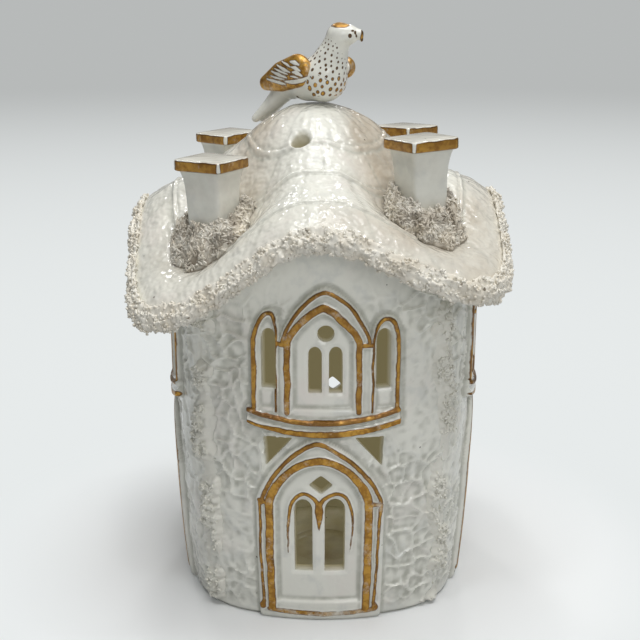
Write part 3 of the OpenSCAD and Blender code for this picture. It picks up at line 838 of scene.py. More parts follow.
@dataclass(frozen=True)
class RoofForm:
    """The roof's own surface: an ogee dome over a four-gabled brim with corners that droop unequally."""

    eave_half: float = 42.8
    gable_edge_z: float = 93.6
    brim_rise: float = 6
    dome_rise: float = 18.3
    dome_radius: float = 20.9
    crown_sink: float = 0.7
    crown_radius: float = 13
    corner_droop: float = 12.6
    corner_curl: float = 2.8
    thickness: float = 3.4
    lean: float = math.radians(1.2)
    lean_height: float = 85
    shift: float = -1.2
    droop_share: tuple = (1.06, 1.12, 1.15, 0.84)
    ridge_flatness: float = 0.6
    ridge_end: float = 0.72
    brim_power: float = 8
    dome_power: float = 2.4
    eave_power: float = 5

    def eave_r(self, bearing: Array) -> Array:
        """Reach of the eave along a bearing: a square with round corners, as a sum of fifth powers."""
        powers = np.abs(np.cos(bearing)) ** self.eave_power + np.abs(np.sin(bearing)) ** self.eave_power
        return self.eave_half / powers ** (1 / self.eave_power)

    def ring_r(self, share: Array, bearing: Array) -> Array:
        """Reach at a share of the way out: a circle near the dome that turns into the eave's outline."""
        return share * (self.eave_half * (1 - share**2) + self.eave_r(bearing) * share**2)

    def z(self, reach: Array, bearing: Array) -> Array:
        """Height of the roof: brim and dome, less the droop that grows towards the corners.

        Args:
            reach: Distances from the axis.
            bearing: Bearings.

        Returns:
            The heights.
        """
        share = reach / self.eave_r(bearing)
        quarter = (np.floor(np.mod(bearing, 2 * np.pi) / (np.pi / 2)).astype(int)) % 4
        flatness = 1 + self.ridge_flatness * (1 - ramp(share, self.ridge_end, 1))
        corner = np.array(self.droop_share)[quarter] * ((1 - np.cos(4 * bearing)) / 2) ** flatness
        fall = self.corner_droop * (1 - np.exp(-((2 * share) ** 4)))
        droop = corner * (fall + self.corner_curl * share**self.brim_power)
        dome = self.dome_rise * np.exp(-((reach / self.dome_radius) ** self.dome_power))
        return self.gable_edge_z + self.brim_rise * (1 - share**self.brim_power) + dome - droop

    def at(self, x: Array, y: Array) -> Array:
        """Height of the roof over x and y of its own frame."""
        return self.z(np.hypot(x, y), np.arctan2(y, x))

    def crown_z(self) -> Array:
        """Height of the dome's middle."""
        return self.z(np.array(0.001), np.array(0.0))

    def sunk(self, reach: Array) -> Array:
        """How far the dome's worn crown lies below the form."""
        return self.crown_sink * bell(reach, self.crown_radius)

    def to_tower(self, points: Array) -> Array:
        """Points of the roof's own upright frame, carried to its leaning place on the tower."""
        x, z = rotated(points[..., 0], points[..., 2] - self.lean_height, self.lean)
        return np.stack([self.shift + x, points[..., 1], self.lean_height + z], axis=-1)

    def underside(self, x: Array, y: Array) -> Array:
        """Height of the roof's underside, found by repeating the lean's correction.

        Args:
            x: Places across the tower.
            y: Places along the tower.

        Returns:
            The heights.
        """
        cos, sin = math.cos(self.lean), math.sin(self.lean)
        height = np.full(np.shape(x), self.gable_edge_z)
        for _ in range(4):
            own = (x - self.shift) * cos + (height - self.lean_height) * sin
            below = self.at(own, y) - self.thickness - self.lean_height
            height = self.lean_height + own * sin + below * cos
        return height


class Curve(Enum):
    """Shapes of arch, as the powers of a sine across and of a cosine up, of the angle from upright."""

    HOOD = (1.33, 1.44)
    WINDOW = (1.48, 1.5)
    DOOR = (1.0, 1.4)
    SIDE = (0.91, 1.2)
    LIGHT = (1.0, 1.0)


@dataclass(frozen=True)
class Arch:
    """An arch on straight sides, on the flat of a wall, whose top may lean."""

    curve: Curve
    middle: float
    half: float
    spring: float
    rise: float
    base: float = -9
    lean: float = 0
    steps: int = 28

    def gap(self, x: Array, z: Array) -> Array:
        """Distance outside the arch: a sum of powers over its slope above the springing, a slab below it.

        Args:
            x: Places across the flat of the wall.
            z: Heights.

        Returns:
            The distances, negative inside.
        """
        up = np.maximum(z - self.spring, 1e-6)
        away = np.maximum(np.abs(x - self.middle - self.lean * up), 1e-6)
        wide, tall = (2 / power for power in self.curve.value)
        across, above = away / self.half, up / self.rise
        slope = np.hypot(wide / self.half * across ** (wide - 1), tall / self.rise * above ** (tall - 1))
        round_top = (across**wide + above**tall - 1) / slope
        return np.where(z > self.spring, round_top, np.maximum(away - self.half, self.base - z))

    def line(self, foot: float | None = None) -> Array:
        """Points along the arch from its left end to its right end.

        Args:
            foot: Height that its sides go down to, if they do.

        Returns:
            One point per row.
        """
        angle = np.linspace(-1, 1, self.steps + 1) * math.pi / 2
        wide, tall = self.curve.value
        up = self.rise * np.cos(angle).clip(0) ** tall
        across = self.half * np.sign(angle) * np.abs(np.sin(angle)) ** wide
        line = np.stack([self.middle + across + self.lean * up, self.spring + up], axis=-1)
        if foot is not None:
            ends = [[self.middle - self.half, foot], [self.middle + self.half, foot]]
            line = np.vstack([ends[:1], line, ends[1:]])
        return line


@dataclass(frozen=True)
class TowerForm:
    """The tower's plan, four bowed faces tangent to round corners, and its battered foot."""

    half: float = 36.2
    corner_radius: float = 22
    face_radius: float = 54
    wall_thickness: float = 3
    foot_batter: float = 2.3
    batter_height: float = 46

    @property
    def bow_offset(self) -> float:
        """How far behind the axis the face arc's centre lies."""
        return self.face_radius - self.half

    @property
    def corner_offset(self) -> float:
        """Distance of a corner arc's centre from both centre planes."""
        gap = self.face_radius - self.corner_radius
        return (math.sqrt(2 * gap**2 - self.bow_offset**2) - self.bow_offset) / 2

    @property
    def face_angle(self) -> float:
        """Turn of the plan where a face arc meets a corner arc."""
        return math.atan2(self.corner_offset, self.corner_offset + self.bow_offset)

    @property
    def half_length(self) -> float:
        """Length along the plan from the middle of a face to the middle of a corner."""
        return self.face_radius * self.face_angle + self.corner_radius * (math.pi / 4 - self.face_angle)

    def turn(self, along: Array) -> Array:
        """Turn of the plan's normal: the length along each arc over that arc's radius.

        Args:
            along: Lengths along the plan from the middle of a face.

        Returns:
            The turns.
        """
        face = self.face_radius * self.face_angle
        past = np.maximum(np.abs(along) - face, 0)
        turn = np.minimum(np.abs(along), face) / self.face_radius + past / self.corner_radius
        return np.sign(along) * turn

    def plan(self, turn: Array, out: Array) -> tuple[Array, Array]:
        """Points of the front wall's plan: its arcs, with their radii grown by the distance out.

        Args:
            turn: Turns of the plan's normal.
            out: Distances outside the plan.

        Returns:
            The points' x and y.
        """
        on_face = np.abs(turn) <= self.face_angle
        radius = np.where(on_face, self.face_radius, self.corner_radius) + out
        x = np.where(on_face, 0, np.sign(turn) * self.corner_offset) + radius * np.sin(turn)
        y = np.where(on_face, self.bow_offset, -self.corner_offset) - radius * np.cos(turn)
        return x, y

    def batter(self, z: Array) -> Array:
        """How far the wall's face lies outside the plain wall: a negative square below the batter's top."""
        return -self.foot_batter * np.maximum(0, 1 - z / self.batter_height) ** 2


@dataclass(frozen=True)
class Stroke:
    """A brushed gilt line on the flat of a wall, usually on a raised bead."""

    path: Sequence[Sequence[float]]
    half: Sequence[float]
    wear: float = 0.1
    bead: float = 0.4
    tone: float = 0.3

    def depth(self, x: Array, z: Array) -> Array:
        """Distance inside the line's edge: its half width there less the distance to its path.

        Args:
            x: Places across the flat.
            z: Heights.

        Returns:
            The distances, negative outside.
        """
        path = np.asarray(self.path, float)
        halves = np.interp(np.linspace(0, 1, len(path)), np.linspace(0, 1, len(self.half)), self.half)
        best = np.full(x.shape, -99.0)
        for start, end, thin, thick in zip(path, path[1:], halves, halves[1:]):
            run = end - start
            share = ((x - start[0]) * run[0] + (z - start[1]) * run[1]) / max(run @ run, 1e-9)
            share = np.clip(share, 0, 1)
            away = np.hypot(x - start[0] - share * run[0], z - start[1] - share * run[1])
            best = np.maximum(best, thin + (thick - thin) * share - away)
        return best


@dataclass
class WallPattern:
    """The window and door groups of one wall on its flat: lights, raised work and gilding.

    The roundel is a shift from the window's middle, a height and a radius. The diamond is a middle, a height,
    a half width and a half height.
    """

    window_x: float = 0.35
    lancet_shift: float = 2.3
    jamb_z: float = 53
    door_foot_z: float = 3
    sill_z: float = 50.7
    sill_sag: float = 2.4
    course_z: float = 48.0
    reach: float = 16.3
    roundel: tuple = (0.1, 71, 1.9)
    diamond: tuple = (-0.63, 35.2, 2.95, 2.5)
    diamond_softness: float = 0.1
    diamond_slope: float = 1.9
    spandrel_corners: tuple = ((7.0, 46.5), (13.7, 46.4), (13.2, 39.3))
    panel_height: float = 1.05
    ledge_height: float = 1.65
    ledge_groove: float = 0.6
    field_depth: float = 0.75
    side_field_depth: float = 0.55

    def sag(self, x: Array, middle: float) -> Array:
        """Height of a line that dips to the middle as a square of the reach."""
        return middle + self.sill_sag * (x / self.reach) ** 2

    def spandrel(self, x: Array, z: Array) -> Array:
        """Distance outside the three-cornered light by the door's arch: the greatest of those from its sides.

        Args:
            x: Places across the flat.
            z: Heights.

        Returns:
            The distances, negative inside.
        """
        sides = []
        corners = self.spandrel_corners
        for here, after in zip(corners, (*corners[1:], corners[0])):
            run = np.subtract(after, here) / math.dist(after, here)
            sides.append((z - here[1]) * run[0] - (x - here[0]) * run[1])
        return np.maximum.reduce(sides)

    def lights(self, x: Array, z: Array) -> Array:
        """Distance outside the nearest of the arched, round, diamond and three-cornered lights.

        Args:
            x: Places across the flat.
            z: Heights.

        Returns:
            The distances, negative inside a light.
        """
        left, right = self.window_x - self.lancet_shift, self.window_x + self.lancet_shift
        lancets = [Arch(Curve.LIGHT, middle, 1.52, 66.1, 1.95, 57.3) for middle in (left, right)]
        others = [
            Arch(Curve.LIGHT, -12.1, 1.75, 69.4, 2.6, 58.2),
            Arch(Curve.LIGHT, 13.25, 1.68, 69.4, 2.5, 58.0),
            Arch(Curve.LIGHT, -4.7, 2.12, 28.8, 2.8, 13.1),
            Arch(Curve.LIGHT, 2.6, 2.38, 28.8, 3.0, 13.1),
        ]
        shapes = [arch.gap(x, z) for arch in lancets + others]
        aside, height, radius = self.roundel
        shapes.append(np.hypot(x - self.window_x - aside, z - height) - radius)
        middle, height, wide, tall = self.diamond
        across = np.hypot(np.abs(x - middle) / wide, self.diamond_softness)
        up = np.hypot(np.abs(z - height) / tall, self.diamond_softness)
        shapes.append((across + up - 1) * self.diamond_slope)
        shapes.append(np.minimum(self.spandrel(x, z), self.spandrel(-x, z)))
        return np.minimum.reduce(shapes)

    def window_strokes(self) -> list[Stroke]:
        """The gilt lines of the window group: four arches, three short bars, the sill and the course.

        Returns:
            One stroke for each line.
        """
        across = np.linspace(-1, 1, 13)
        sill = np.stack([self.reach * across - 0.2, self.sag(self.reach * across, self.sill_z)], axis=-1)
        course_sag = self.sag(self.reach * across, self.course_z)
        course = np.stack([(self.reach + 0.4) * across, course_sag], axis=-1)
        hood = Arch(Curve.HOOD, 0.4, 9.35, 69, 11.7).line()
        window = Arch(Curve.WINDOW, -0.2, 7.75, 69, 8.05).line(self.jamb_z)
        left = Arch(Curve.SIDE, -12.85, 2.4, 69.4, 6.1, lean=0.15).line(self.jamb_z)
        right = Arch(Curve.SIDE, 13.35, 2.75, 68.6, 5.8, lean=0.05).line(self.jamb_z)
        return [
            Stroke(hood, (0.4, 0.46, 0.5, 0.46, 0.4), 0.02, tone=0.6),
            Stroke(window, (0.7, 0.8, 0.85, 0.9, 0.85, 0.8, 0.66), 0.1, tone=0.45),
            Stroke(left, (0.62, 0.5, 0.5, 0.42, 0.36, 0.3), 0.02),
            Stroke(right, (0.3, 0.36, 0.46, 0.5, 0.5, 0.55), 0.05),
            Stroke([(-10.3, 68.7), (-8.1, 68.5)], (0.5, 0.55), 0.02),
            Stroke([(8.5, 68.4), (10.2, 68.3)], (0.5, 0.5), 0.1),
            Stroke([(-15.2, 63.6), (-15.2, 64.3)], (0.6, 0.6), 0),
            Stroke(sill, (0.5, 0.55, 0.7, 0.62, 0.5), 0, tone=0.85),
            Stroke(course, (0.35, 0.7, 0.85, 0.8, 0.72), 0, 0.25, 0.1),
        ]

    def door_strokes(self) -> list[Stroke]:
        """The gilt lines of the door group: two arches, imposts, columns and feet, two fronds, drop and step.

        Returns:
            One stroke for each line.
        """
        hood = Arch(Curve.HOOD, -0.45, 13.3, 30.7, 14.9, lean=-0.07).line()
        door = Arch(Curve.DOOR, -1.1, 11.15, 30.5, 11).line(self.door_foot_z)
        left_frond = [(-8.2, 18), (-8.2, 25.5), (-7.2, 30.8), (-4.8, 33.1), (-2.6, 32.2), (-1.1, 30.2)]
        right_frond = [(6.1, 18.2), (6.55, 25.5), (5.7, 31), (3.2, 33.1), (0.5, 32.2), (-1.1, 30.2)]
        step = [(-13, 2.5), (-6, 2.1), (0, 2.0), (6, 2.1), (12.3, 2.7)]
        return [
            Stroke(hood, (0.5, 0.5, 0.62, 0.52, 0.46), 0.04, tone=0.5),
            Stroke(door, (0.95, 1.0, 0.85, 0.95, 0.85, 1.0, 0.95), 0.1, tone=0.15),
            Stroke([(-14.3, 31.4), (-12.6, 30.7)], (0.55, 0.55), 0.05),
            Stroke([(11, 30.4), (12.9, 30), (12.7, 28.4)], (0.6, 0.55, 0.5), 0.12),
            Stroke([(-14.3, 31), (-14.4, 16), (-14.2, 4.5)], (0.34, 0.36, 0.42), 0.1),
            Stroke([(12.6, 29), (12.3, 16), (11.9, 4.5)], (0.45, 0.36, 0.42), 0.12),
            Stroke([(-14.2, 4.6), (-14.5, 3.4)], (0.55, 0.9), 0.02),
            Stroke([(11.9, 4.6), (12.3, 3.2)], (0.5, 0.85), 0.05),
            Stroke(spline(left_frond), (0.12, 0.35, 0.45, 0.5, 0.5, 0.6), 0.05, 0.3),
            Stroke(spline(right_frond), (0.12, 0.28, 0.4, 0.5, 0.5, 0.6), 0.1, 0.3),
            Stroke([(-1.15, 30.4), (-1.1, 28.5), (-1.05, 23.6)], (0.9, 1.05, 0.05), 0.02, 0.2),
            Stroke(step, (0.6, 0.7, 0.65), 0.28, 0.1),
        ]

    def raised(self, x: Array, z: Array) -> tuple[Array, Array]:
        """The raised panels, ledge and sunk fields, with soft edges.

        Args:
            x: Places across the flat of the wall.
            z: Heights.

        Returns:
            The height over the wall, and where the wall is plain, from 0 to 1.
        """
        panels = [
            Arch(Curve.HOOD, -0.8, 14.7, 30.6, 16.2, lean=-0.03),
            Arch(Curve.HOOD, 0.4, 10.2, 69, 12.7, 51),
            Arch(Curve.SIDE, -12.85, 3.1, 69.4, 6.9, 51, 0.14),
            Arch(Curve.SIDE, 13.35, 3.45, 68.6, 6.6, 51, 0.05),
        ]
        panel = np.minimum.reduce([arch.gap(x, z) for arch in panels])
        height = self.panel_height * ramp(-panel, -0.35, 0.45)
        door = Arch(Curve.DOOR, -1.1, 9.9, 30.4, 9.7, 5.2)
        window = Arch(Curve.WINDOW, -0.2, 6.7, 69, 6.7, 53.6)
        left = Arch(Curve.SIDE, -12.5, 1.95, 69.4, 5.1, 53.6, 0.1)
        right = Arch(Curve.SIDE, 13.35, 2.15, 68.6, 5, 53.4)
        for one, two, sunk in ((door, window, self.field_depth), (left, right, self.side_field_depth)):
            height = height - sunk * ramp(-np.minimum(one.gap(x, z), two.gap(x, z)), -0.3, 0.55)
        between = np.maximum(self.sag(x, self.course_z - 1.0) - z, z - self.sag(x, self.sill_z + 0.5))
        ledge = np.maximum(between, np.abs(x) - self.reach - 0.7)
        groove = ramp(-np.abs(z - self.sag(x, self.course_z + 1.5)), -0.9, 0)
        ledge_height = self.ledge_height - self.ledge_groove * groove
        height = np.maximum(height, ledge_height * ramp(-ledge, -0.3, 0.4))
        return height, ramp(np.minimum(panel, ledge), 0.2, 1.8)


@dataclass
class Wall:
    """One wall of the tower: a pierced shell whose face carries rubble relief, raised work and gilding."""

    side: Side
    tower: TowerForm
    roof: RoofForm
    pattern: WallPattern
    bay_half: float = 17.2
    bay_step: float = 0.33
    corner_step: float = 0.5
    row_step: float = 0.35
    fixed_z: float = 60
    top_z: float = 96
    top_lap: float = 0.3
    lip: float = 0.35
    lip_width: float = 0.75
    cove_reach: float = 3.4
    cove_height: float = 3.2
    seam_gap: float = 0.04
    cell: float = 4.4
    ridge: float = 0.48
    ridge_width: float = 0.45
    bend: float = 2.1
    bowl: float = 0.7
    bowl_reach: float = 0.66
    lump: float = 0.34
    grain: float = 0.09
    face_lift: float = 0.2
    foot_sink: float = 0.7
    gable_plain_z: float = 78
    gable_plainness: float = 0.85
    brush_wobble: float = 0.14
    # Reach and strength of the painted shade in the relief's hollows.
    hollow_reach: int = 3
    hollow_strength: float = 6
    side_spacing: float = 90

    def grid(self) -> tuple[Array, Array]:
        """The grid of the wall's face, with rows that end under the roof.

        Returns:
            Lengths along the plan, and heights.
        """
        end = self.tower.half_length - self.seam_gap
        bay = np.linspace(-self.bay_half, self.bay_half, round(2 * self.bay_half / self.bay_step) + 1)
        edge = np.linspace(self.bay_half, end, round((end - self.bay_half) / self.corner_step) + 1)[1:]
        columns = np.concatenate([-edge[::-1], bay, edge])
        rows = np.linspace(0, self.top_z, round(self.top_z / self.row_step) + 1)
        along, z = np.meshgrid(columns, rows)
        plan = self.tower.plan(self.tower.turn(columns), 0)
        top = self.roof.underside(*quarter_turned(*plan, self.side.value)) + self.top_lap
        squeeze = (top[None, :] - self.fixed_z) / (self.top_z - self.fixed_z)
        return along, np.where(z > self.fixed_z, self.fixed_z + (z - self.fixed_z) * squeeze, z)

    def flat(self, along: Array) -> Array:
        """Place across the flat of the wall at a length along the plan."""
        return self.tower.plan(self.tower.turn(along), 0)[0]

    def pierce(self, along: Array, z: Array) -> tuple[Array, Array, Array]:
        """Drops the quads inside the lights and draws their edges' points on to the lights' outlines.

        Args:
            along: Lengths of the grid's points.
            z: Heights of the grid's points.

        Returns:
            The kept quads, and the lengths and heights after the move.
        """
        quads, edge = parted(grid_quads(*along.shape), self.pattern.lights(self.flat(along), z))
        along, z = along.copy(), z.copy()
        probe, most = 0.02, 0.3
        for _ in range(4):
            s, h = along[edge], z[edge]
            here = self.pattern.lights(self.flat(s), h)
            slope_s = (self.pattern.lights(self.flat(s + probe), h) - here) / probe
            slope_z = (self.pattern.lights(self.flat(s), h + probe) - here) / probe
            pull = here / np.maximum(slope_s**2 + slope_z**2, 0.2)
            along[edge] -= np.clip(pull * slope_s, -most, most)
            z[edge] -= np.clip(pull * slope_z, -most, most)
        return quads, along, z

    def rubble(self, along: Array, z: Array, place: Array) -> Array:
        """Soft rubble: shallow bowls in a net of thin ridges, over broad lumps, weak under the gable.

        Args:
            along: Lengths along the plan.
            z: Heights.
            place: The same as points of a plane, apart from those of the other walls.

        Returns:
            The relief's heights.
        """
        bent = place + self.bend * np.stack([soft_noise(place, 6, seed, 2) for seed in (5, 6)], axis=-1)
        near, second = crackle(bent, self.cell, 11)
        ridge = bell(second - near, self.ridge_width)
        bowl = self.bowl * np.clip(1 - (near / (self.bowl_reach * self.cell)) ** 4, 0, 1)
        patch = ramp(soft_noise(place, 12, 21, 2), -0.7, 0.5)
        relief = self.ridge * (0.2 + 0.8 * patch) * (ridge - bowl) + self.lump * soft_noise(place, 7, 23, 3)
        relief = relief + self.grain * soft_noise(place, 1.6, 29, 2)
        gable = ramp(z, self.gable_plain_z - 3, self.gable_plain_z + 2) * (1 - ramp(np.abs(along), 15, 21))
        return relief * (1 - self.gable_plainness * gable)

    def gilding(self, x: Array, z: Array) -> tuple[Array, Array, Array, Array]:
        """The gilt lines on the flat of the wall.

        Args:
            x: Places across the flat, with the brush's wobble.
            z: Heights, with the brush's wobble.

        Returns:
            Depth inside the nearest line, that line's wear and tone, and the height of the beads.
        """
        gilt = np.full(x.shape, UNPAINTED)
        wear, tone, bead = (np.zeros(x.shape) for _ in range(3))
        for stroke in self.pattern.window_strokes() + self.pattern.door_strokes():
            depth = stroke.depth(x, z)
            wear = np.where(depth > gilt, stroke.wear, wear)
            tone = np.where(depth > gilt, stroke.tone, tone)
            gilt = np.maximum(gilt, depth)
            bead = np.maximum(bead, stroke.bead * ramp(depth, -0.55, 0.35))
        return gilt, wear, tone, bead

    def hollows(self, relief: Array) -> Array:
        """How far each point lies in a hollow, which sets the painted shade there: the mean of the relief
        round it less its own.

        Args:
            relief: Heights of the relief.

        Returns:
            Values from 0 to 1.
        """
        steps = range(-self.hollow_reach, self.hollow_reach + 1)
        mean = relief
        for axis in (0, 1):
            mean = sum(np.roll(mean, step, axis) for step in steps) / len(steps)
        return np.clip((mean - relief) * self.hollow_strength, 0, 1)

    def build(self, finishes: Finishes) -> None:
        """Makes the wall's shell, with its relief in the outer face and numbers for its finish.

        Args:
            finishes: The burner's finishes.
        """
        quads, along, z = self.pierce(*self.grid())
        x = self.flat(along)
        raised, plain = self.pattern.raised(x, z)
        away = self.pattern.lights(x, z)
        place = np.stack([along + self.side_spacing * self.side.value, z], axis=-1)
        wobble = self.brush_wobble * soft_noise(place, 3.5, 41, 2)
        gilt, wear, tone, bead = self.gilding(x + wobble, z + wobble)
        relief = raised + bead + plain * ramp(z, 0.2, 5) * (self.face_lift + self.rubble(along, z, place))
        relief = relief - self.lip * (1 - ramp(away, 0, self.lip_width))
        relief = relief - self.foot_sink * (1 - ramp(z, -0.4, 1.1))
        below_top = z[-1][None, :] - z
        cove = self.cove_reach * np.exp(-below_top / self.cove_height)
        turn, batter = self.tower.turn(along), self.tower.batter(z)
        skins = []
        for out in (batter + relief * ramp(below_top, 0, 6) + cove, batter - self.tower.wall_thickness):
            skin = quarter_turned(*self.tower.plan(turn, out), self.side.value)
            skins.append(np.stack([*skin, z], axis=-1).reshape(-1, 3))
        numbers = {
            "gilt": both_skins(gilt, UNPAINTED),
            "wear": both_skins(wear, 0),
            "tone": both_skins(tone, 0),
            # Painted shade in the hollows of the relief, kept off the lights' edges.
            "hollow": both_skins(self.hollows(relief) * ramp(away, 0.1, 0.9), 0),
            # Painted shade and a painted glow on the wall's inner skin.
            "soot": both_skins(np.zeros(z.size), 1),
        }
        name = f"wall_{self.side.label}"
        piece = write_piece(f"pierced_{name}", np.vstack(skins), [shell_quads(quads, z.size)], numbers)
        dress(piece, finishes.porcelain, HOUSE, "gilt_glaze", name)


@dataclass
class Roof:
    """The roof shell: stepped thatch courses with bundle seams, dome flutes, a smoke vent and a soffit."""

    form: RoofForm
    rings: int = 122
    around: int = 396
    courses: tuple = (0.39, 0.55, 0.8)
    last_course: float = 1.12
    step: float = 0.44
    dome_step: float = 0.55
    swell_power: float = 1.7
    line: float = 0.26
    seam: float = 0.22
    seam_width: float = 0.42
    course_lip: float = 0.05
    line_width: float = 0.006
    panel: float = 13
    mean_reach: float = 43
    lumps: float = 0.22
    dents: float = 0.17
    streaks: float = 0.06
    flutes: int = 30
    flute_depth: float = 0.08
    vent_radius: float = 2.1
    vent_reach: float = 15.6
    vent_bearing: float = math.radians(-103)
    vent_tilt: float = math.radians(44)
    vent_turn_reach: float = 16
    vent_lip: float = 0.35
    vent_sink: float = 0.5
    vent_soot: float = 0.55
    chimney_reach: float = 23
    groove_shade: float = 0.8
    sharp_angle: float = 65

    def ring_shares(self) -> Array:
        """Shares of the way out of the rings, closer together at the courses' edges.

        Returns:
            One share for each ring.
        """
        fine = np.linspace(0.004, 1, 2001)
        closeness = 1 + sum(3.4 * bell(fine - edge, 0.022) for edge in self.courses)
        total = np.cumsum(closeness)
        return np.interp(np.linspace(total[0], total[-1], self.rings), total, fine)

    def thatch(self, share: Array, bearing: Array) -> tuple[Array, Array]:
        """The thatch: each course swells to a lip under a groove and steps down, and seams part its bundles.

        Args:
            share: Shares of the way out.
            bearing: Bearings.

        Returns:
            The height over the bare roof, and how far each point lies in a groove or just below a course's
            edge, which sets painted shade there.
        """
        circle = np.stack([np.cos(bearing), np.sin(bearing)], axis=-1) * 20
        wave = share + 0.005 * soft_noise(circle, 9, 51, 2) + 0.002 * soft_noise(circle, 2, 53)
        height, groove = np.zeros(share.shape), np.zeros(share.shape)
        start = 0.0
        for index, edge in enumerate((*self.courses, self.last_course)):
            part = np.clip((wave - start) / (edge - start), 0, 1)
            line = bell(wave - edge + 0.021, self.line_width)
            lip = self.course_lip * bell(wave - edge + 0.007, self.line_width)
            course = self.step * (1 if index else self.dome_step) * part**self.swell_power + lip
            count = max(round(2 * np.pi * self.mean_reach * (start + edge) / 2 / self.panel), 6)
            turn = bearing / (2 * np.pi) * count + 0.37 * index + 0.12 * soft_noise(circle, 5, 57 + index)
            away = np.abs(turn - np.round(turn)) / count * 2 * np.pi * share * self.mean_reach
            seam = bell(away, self.seam_width) * ramp(share, 0.26, 0.5)
            taken = ramp(wave, start - 0.002, start + 0.005) if index else np.ones(share.shape)
            height = height * (1 - taken) + (course - self.line * line - self.seam * seam) * taken
            # Painted shadow line just below each course's edge, joined with the line and seam grooves.
            below = bell(wave - start - 0.009, 0.007) * (index > 0)
            groove = groove * (1 - taken) + np.maximum.reduce([0.5 * line, 0.6 * seam, below]) * taken
            start = edge
        spread = circle * share[..., None] * 2.1
        flutes = np.sin(bearing * self.flutes + 2.5 * soft_noise(circle, 12, 63)) * ramp(share, 0.1, 0.3)
        streaks = soft_noise(np.stack([bearing * 70, share * 5], axis=-1), 1.0, 61) * ramp(share, 0.3, 0.55)
        lumps = self.lumps * soft_noise(spread, 7, 67, 2) + self.dents * soft_noise(spread, 2.6, 69, 2)
        height = height + self.flute_depth * flutes * (1 - ramp(share, 0.34, 0.6))
        height = height + lumps + self.streaks * streaks
        plain = ramp(share, 0.95, 1)
        return height * (1 - plain), groove * (1 - plain)

    def vent_gap(self, points: Array) -> Array:
        """Distance outside the smoke vent's slanting bore.

        Args:
            points: Points of the roof's own frame.

        Returns:
            The distances, negative inside.
        """
        bearing = np.array(self.vent_bearing)
        ahead = np.array([math.cos(bearing), math.sin(bearing), 0])
        middle = ahead * self.vent_reach
        middle[2] = self.form.z(np.array(self.vent_reach), bearing)
        axis = ahead * math.cos(self.vent_tilt) + np.array([0, 0, math.sin(self.vent_tilt)])
        gap = points - middle
        return np.linalg.norm(gap - (gap @ axis)[..., None] * axis, axis=-1) - self.vent_radius

    def skin(self, share: Array, bearing: Array) -> Array:
        """The roof's bare upper face at shares of the way out along bearings."""
        reach = self.form.ring_r(share, bearing)
        return polar(reach, bearing, self.form.z(reach, bearing))

    def pierce(self, share: Array, bearing: Array) -> tuple[Array, Array, Array]:
        """Drops the quads in the vent and draws its edge's points on to the bore.

        Args:
            share: Shares of the way out of the grid's points.
            bearing: Bearings of the grid's points.

        Returns:
            The kept quads, and the shares and bearings after the move.
        """
        away = self.vent_gap(self.skin(share, bearing))
        quads, edge = parted(grid_quads(*share.shape, wrap=True), away)
        share, bearing = share.copy(), bearing.copy()
        probe = 0.0005
        for _ in range(6):
            s, b = share[edge], bearing[edge]
            here = self.vent_gap(self.skin(s, b))
            slope_s = (self.vent_gap(self.skin(s + probe, b)) - here) / probe
            slope_b = (self.vent_gap(self.skin(s, b + probe)) - here) / probe
            weight = (slope_s / self.mean_reach) ** 2 + (slope_b / self.vent_turn_reach) ** 2
            share[edge] -= here / weight * slope_s / self.mean_reach**2
            bearing[edge] -= here / weight * slope_b / self.vent_turn_reach**2
        return quads, share, bearing

    def stains(self, points: Array) -> Array:
        """Beige staining: round the chimneys' feet, in drifts down both sides of the dome and on the brim.

        Args:
            points: Points of the roof's own frame.

        Returns:
            The strength of the stain from 0 to 1.
        """
        feet = np.full(points.shape[:-1], 99.0)
        for corner in Corner:
            centre = self.chimney_reach * np.array(corner.value)
            feet = np.minimum(feet, np.linalg.norm(points[..., :2] - centre, axis=-1))
        drift = ramp(soft_noise(points, 9, 71, 3), -0.2, 0.7)
        x, y = points[..., 0], points[..., 1]
        sides = bell(np.abs(x + 0.5) - 14, 6) * bell(y, 17) * np.where(x > 0, 2.5, 1.3)
        brim = ramp(np.hypot(x, y), 29, 40) * np.where(x > 0, 0.6, 0.2)
        return np.clip((0.7 * bell(feet, 11) + sides + brim) * (0.7 + 0.3 * drift), 0, 0.95)

    def build(self, finishes: Finishes) -> None:
        """Makes the roof's shell: the thatched upper face, and the lower face that thins at the eave.

        Args:
            finishes: The burner's finishes.
        """
        grid = np.meshgrid(self.ring_shares(), round_angles(self.around), indexing="ij")
        quads, share, bearing = self.pierce(*grid)
        base = self.skin(share, bearing)
        gap, reach = self.vent_gap(base), np.hypot(base[..., 0], base[..., 1])
        lip = self.vent_lip * bell(gap - 0.7, 0.6) - self.vent_sink * (1 - ramp(gap, 0, 0.6))
        thatch, groove = self.thatch(share, bearing)
        thatch = thatch * ramp(gap, 0, 1.5) + lip - self.form.sunk(reach)
        thinned = 0.35 + 0.65 * np.sqrt(np.clip((1.004 - share) / 0.04, 0, 1))
        up = np.array([0, 0, 1])
        upper = base + up * thatch[..., None]
        lower = base + up * (-self.form.thickness * thinned)[..., None]
        # Painted shade and glow on the roof's underside: full deep under the roof, none near the eave.
        inside = (1 - ramp(reach / self.form.eave_r(bearing), 0.72, 0.8)).ravel()
        caps = np.array([[0, 0, upper[0, :, 2].mean()], [0, 0, lower[0, :, 2].mean()]])
        points = self.form.to_tower(np.vstack([upper.reshape(-1, 3), lower.reshape(-1, 3), caps]))
        half = share.size
        first = np.arange(self.around)
        after = (first + 1) % self.around
        fans = [
            np.stack([np.full(self.around, 2 * half), after, first], axis=-1),
            np.stack([np.full(self.around, 2 * half + 1), first + half, after + half], axis=-1),
        ]
        whole = shell_quads(quads, half)
        ring = (whole % half < self.around).all(axis=1) & (np.ptp(whole // half, axis=1) > 0)
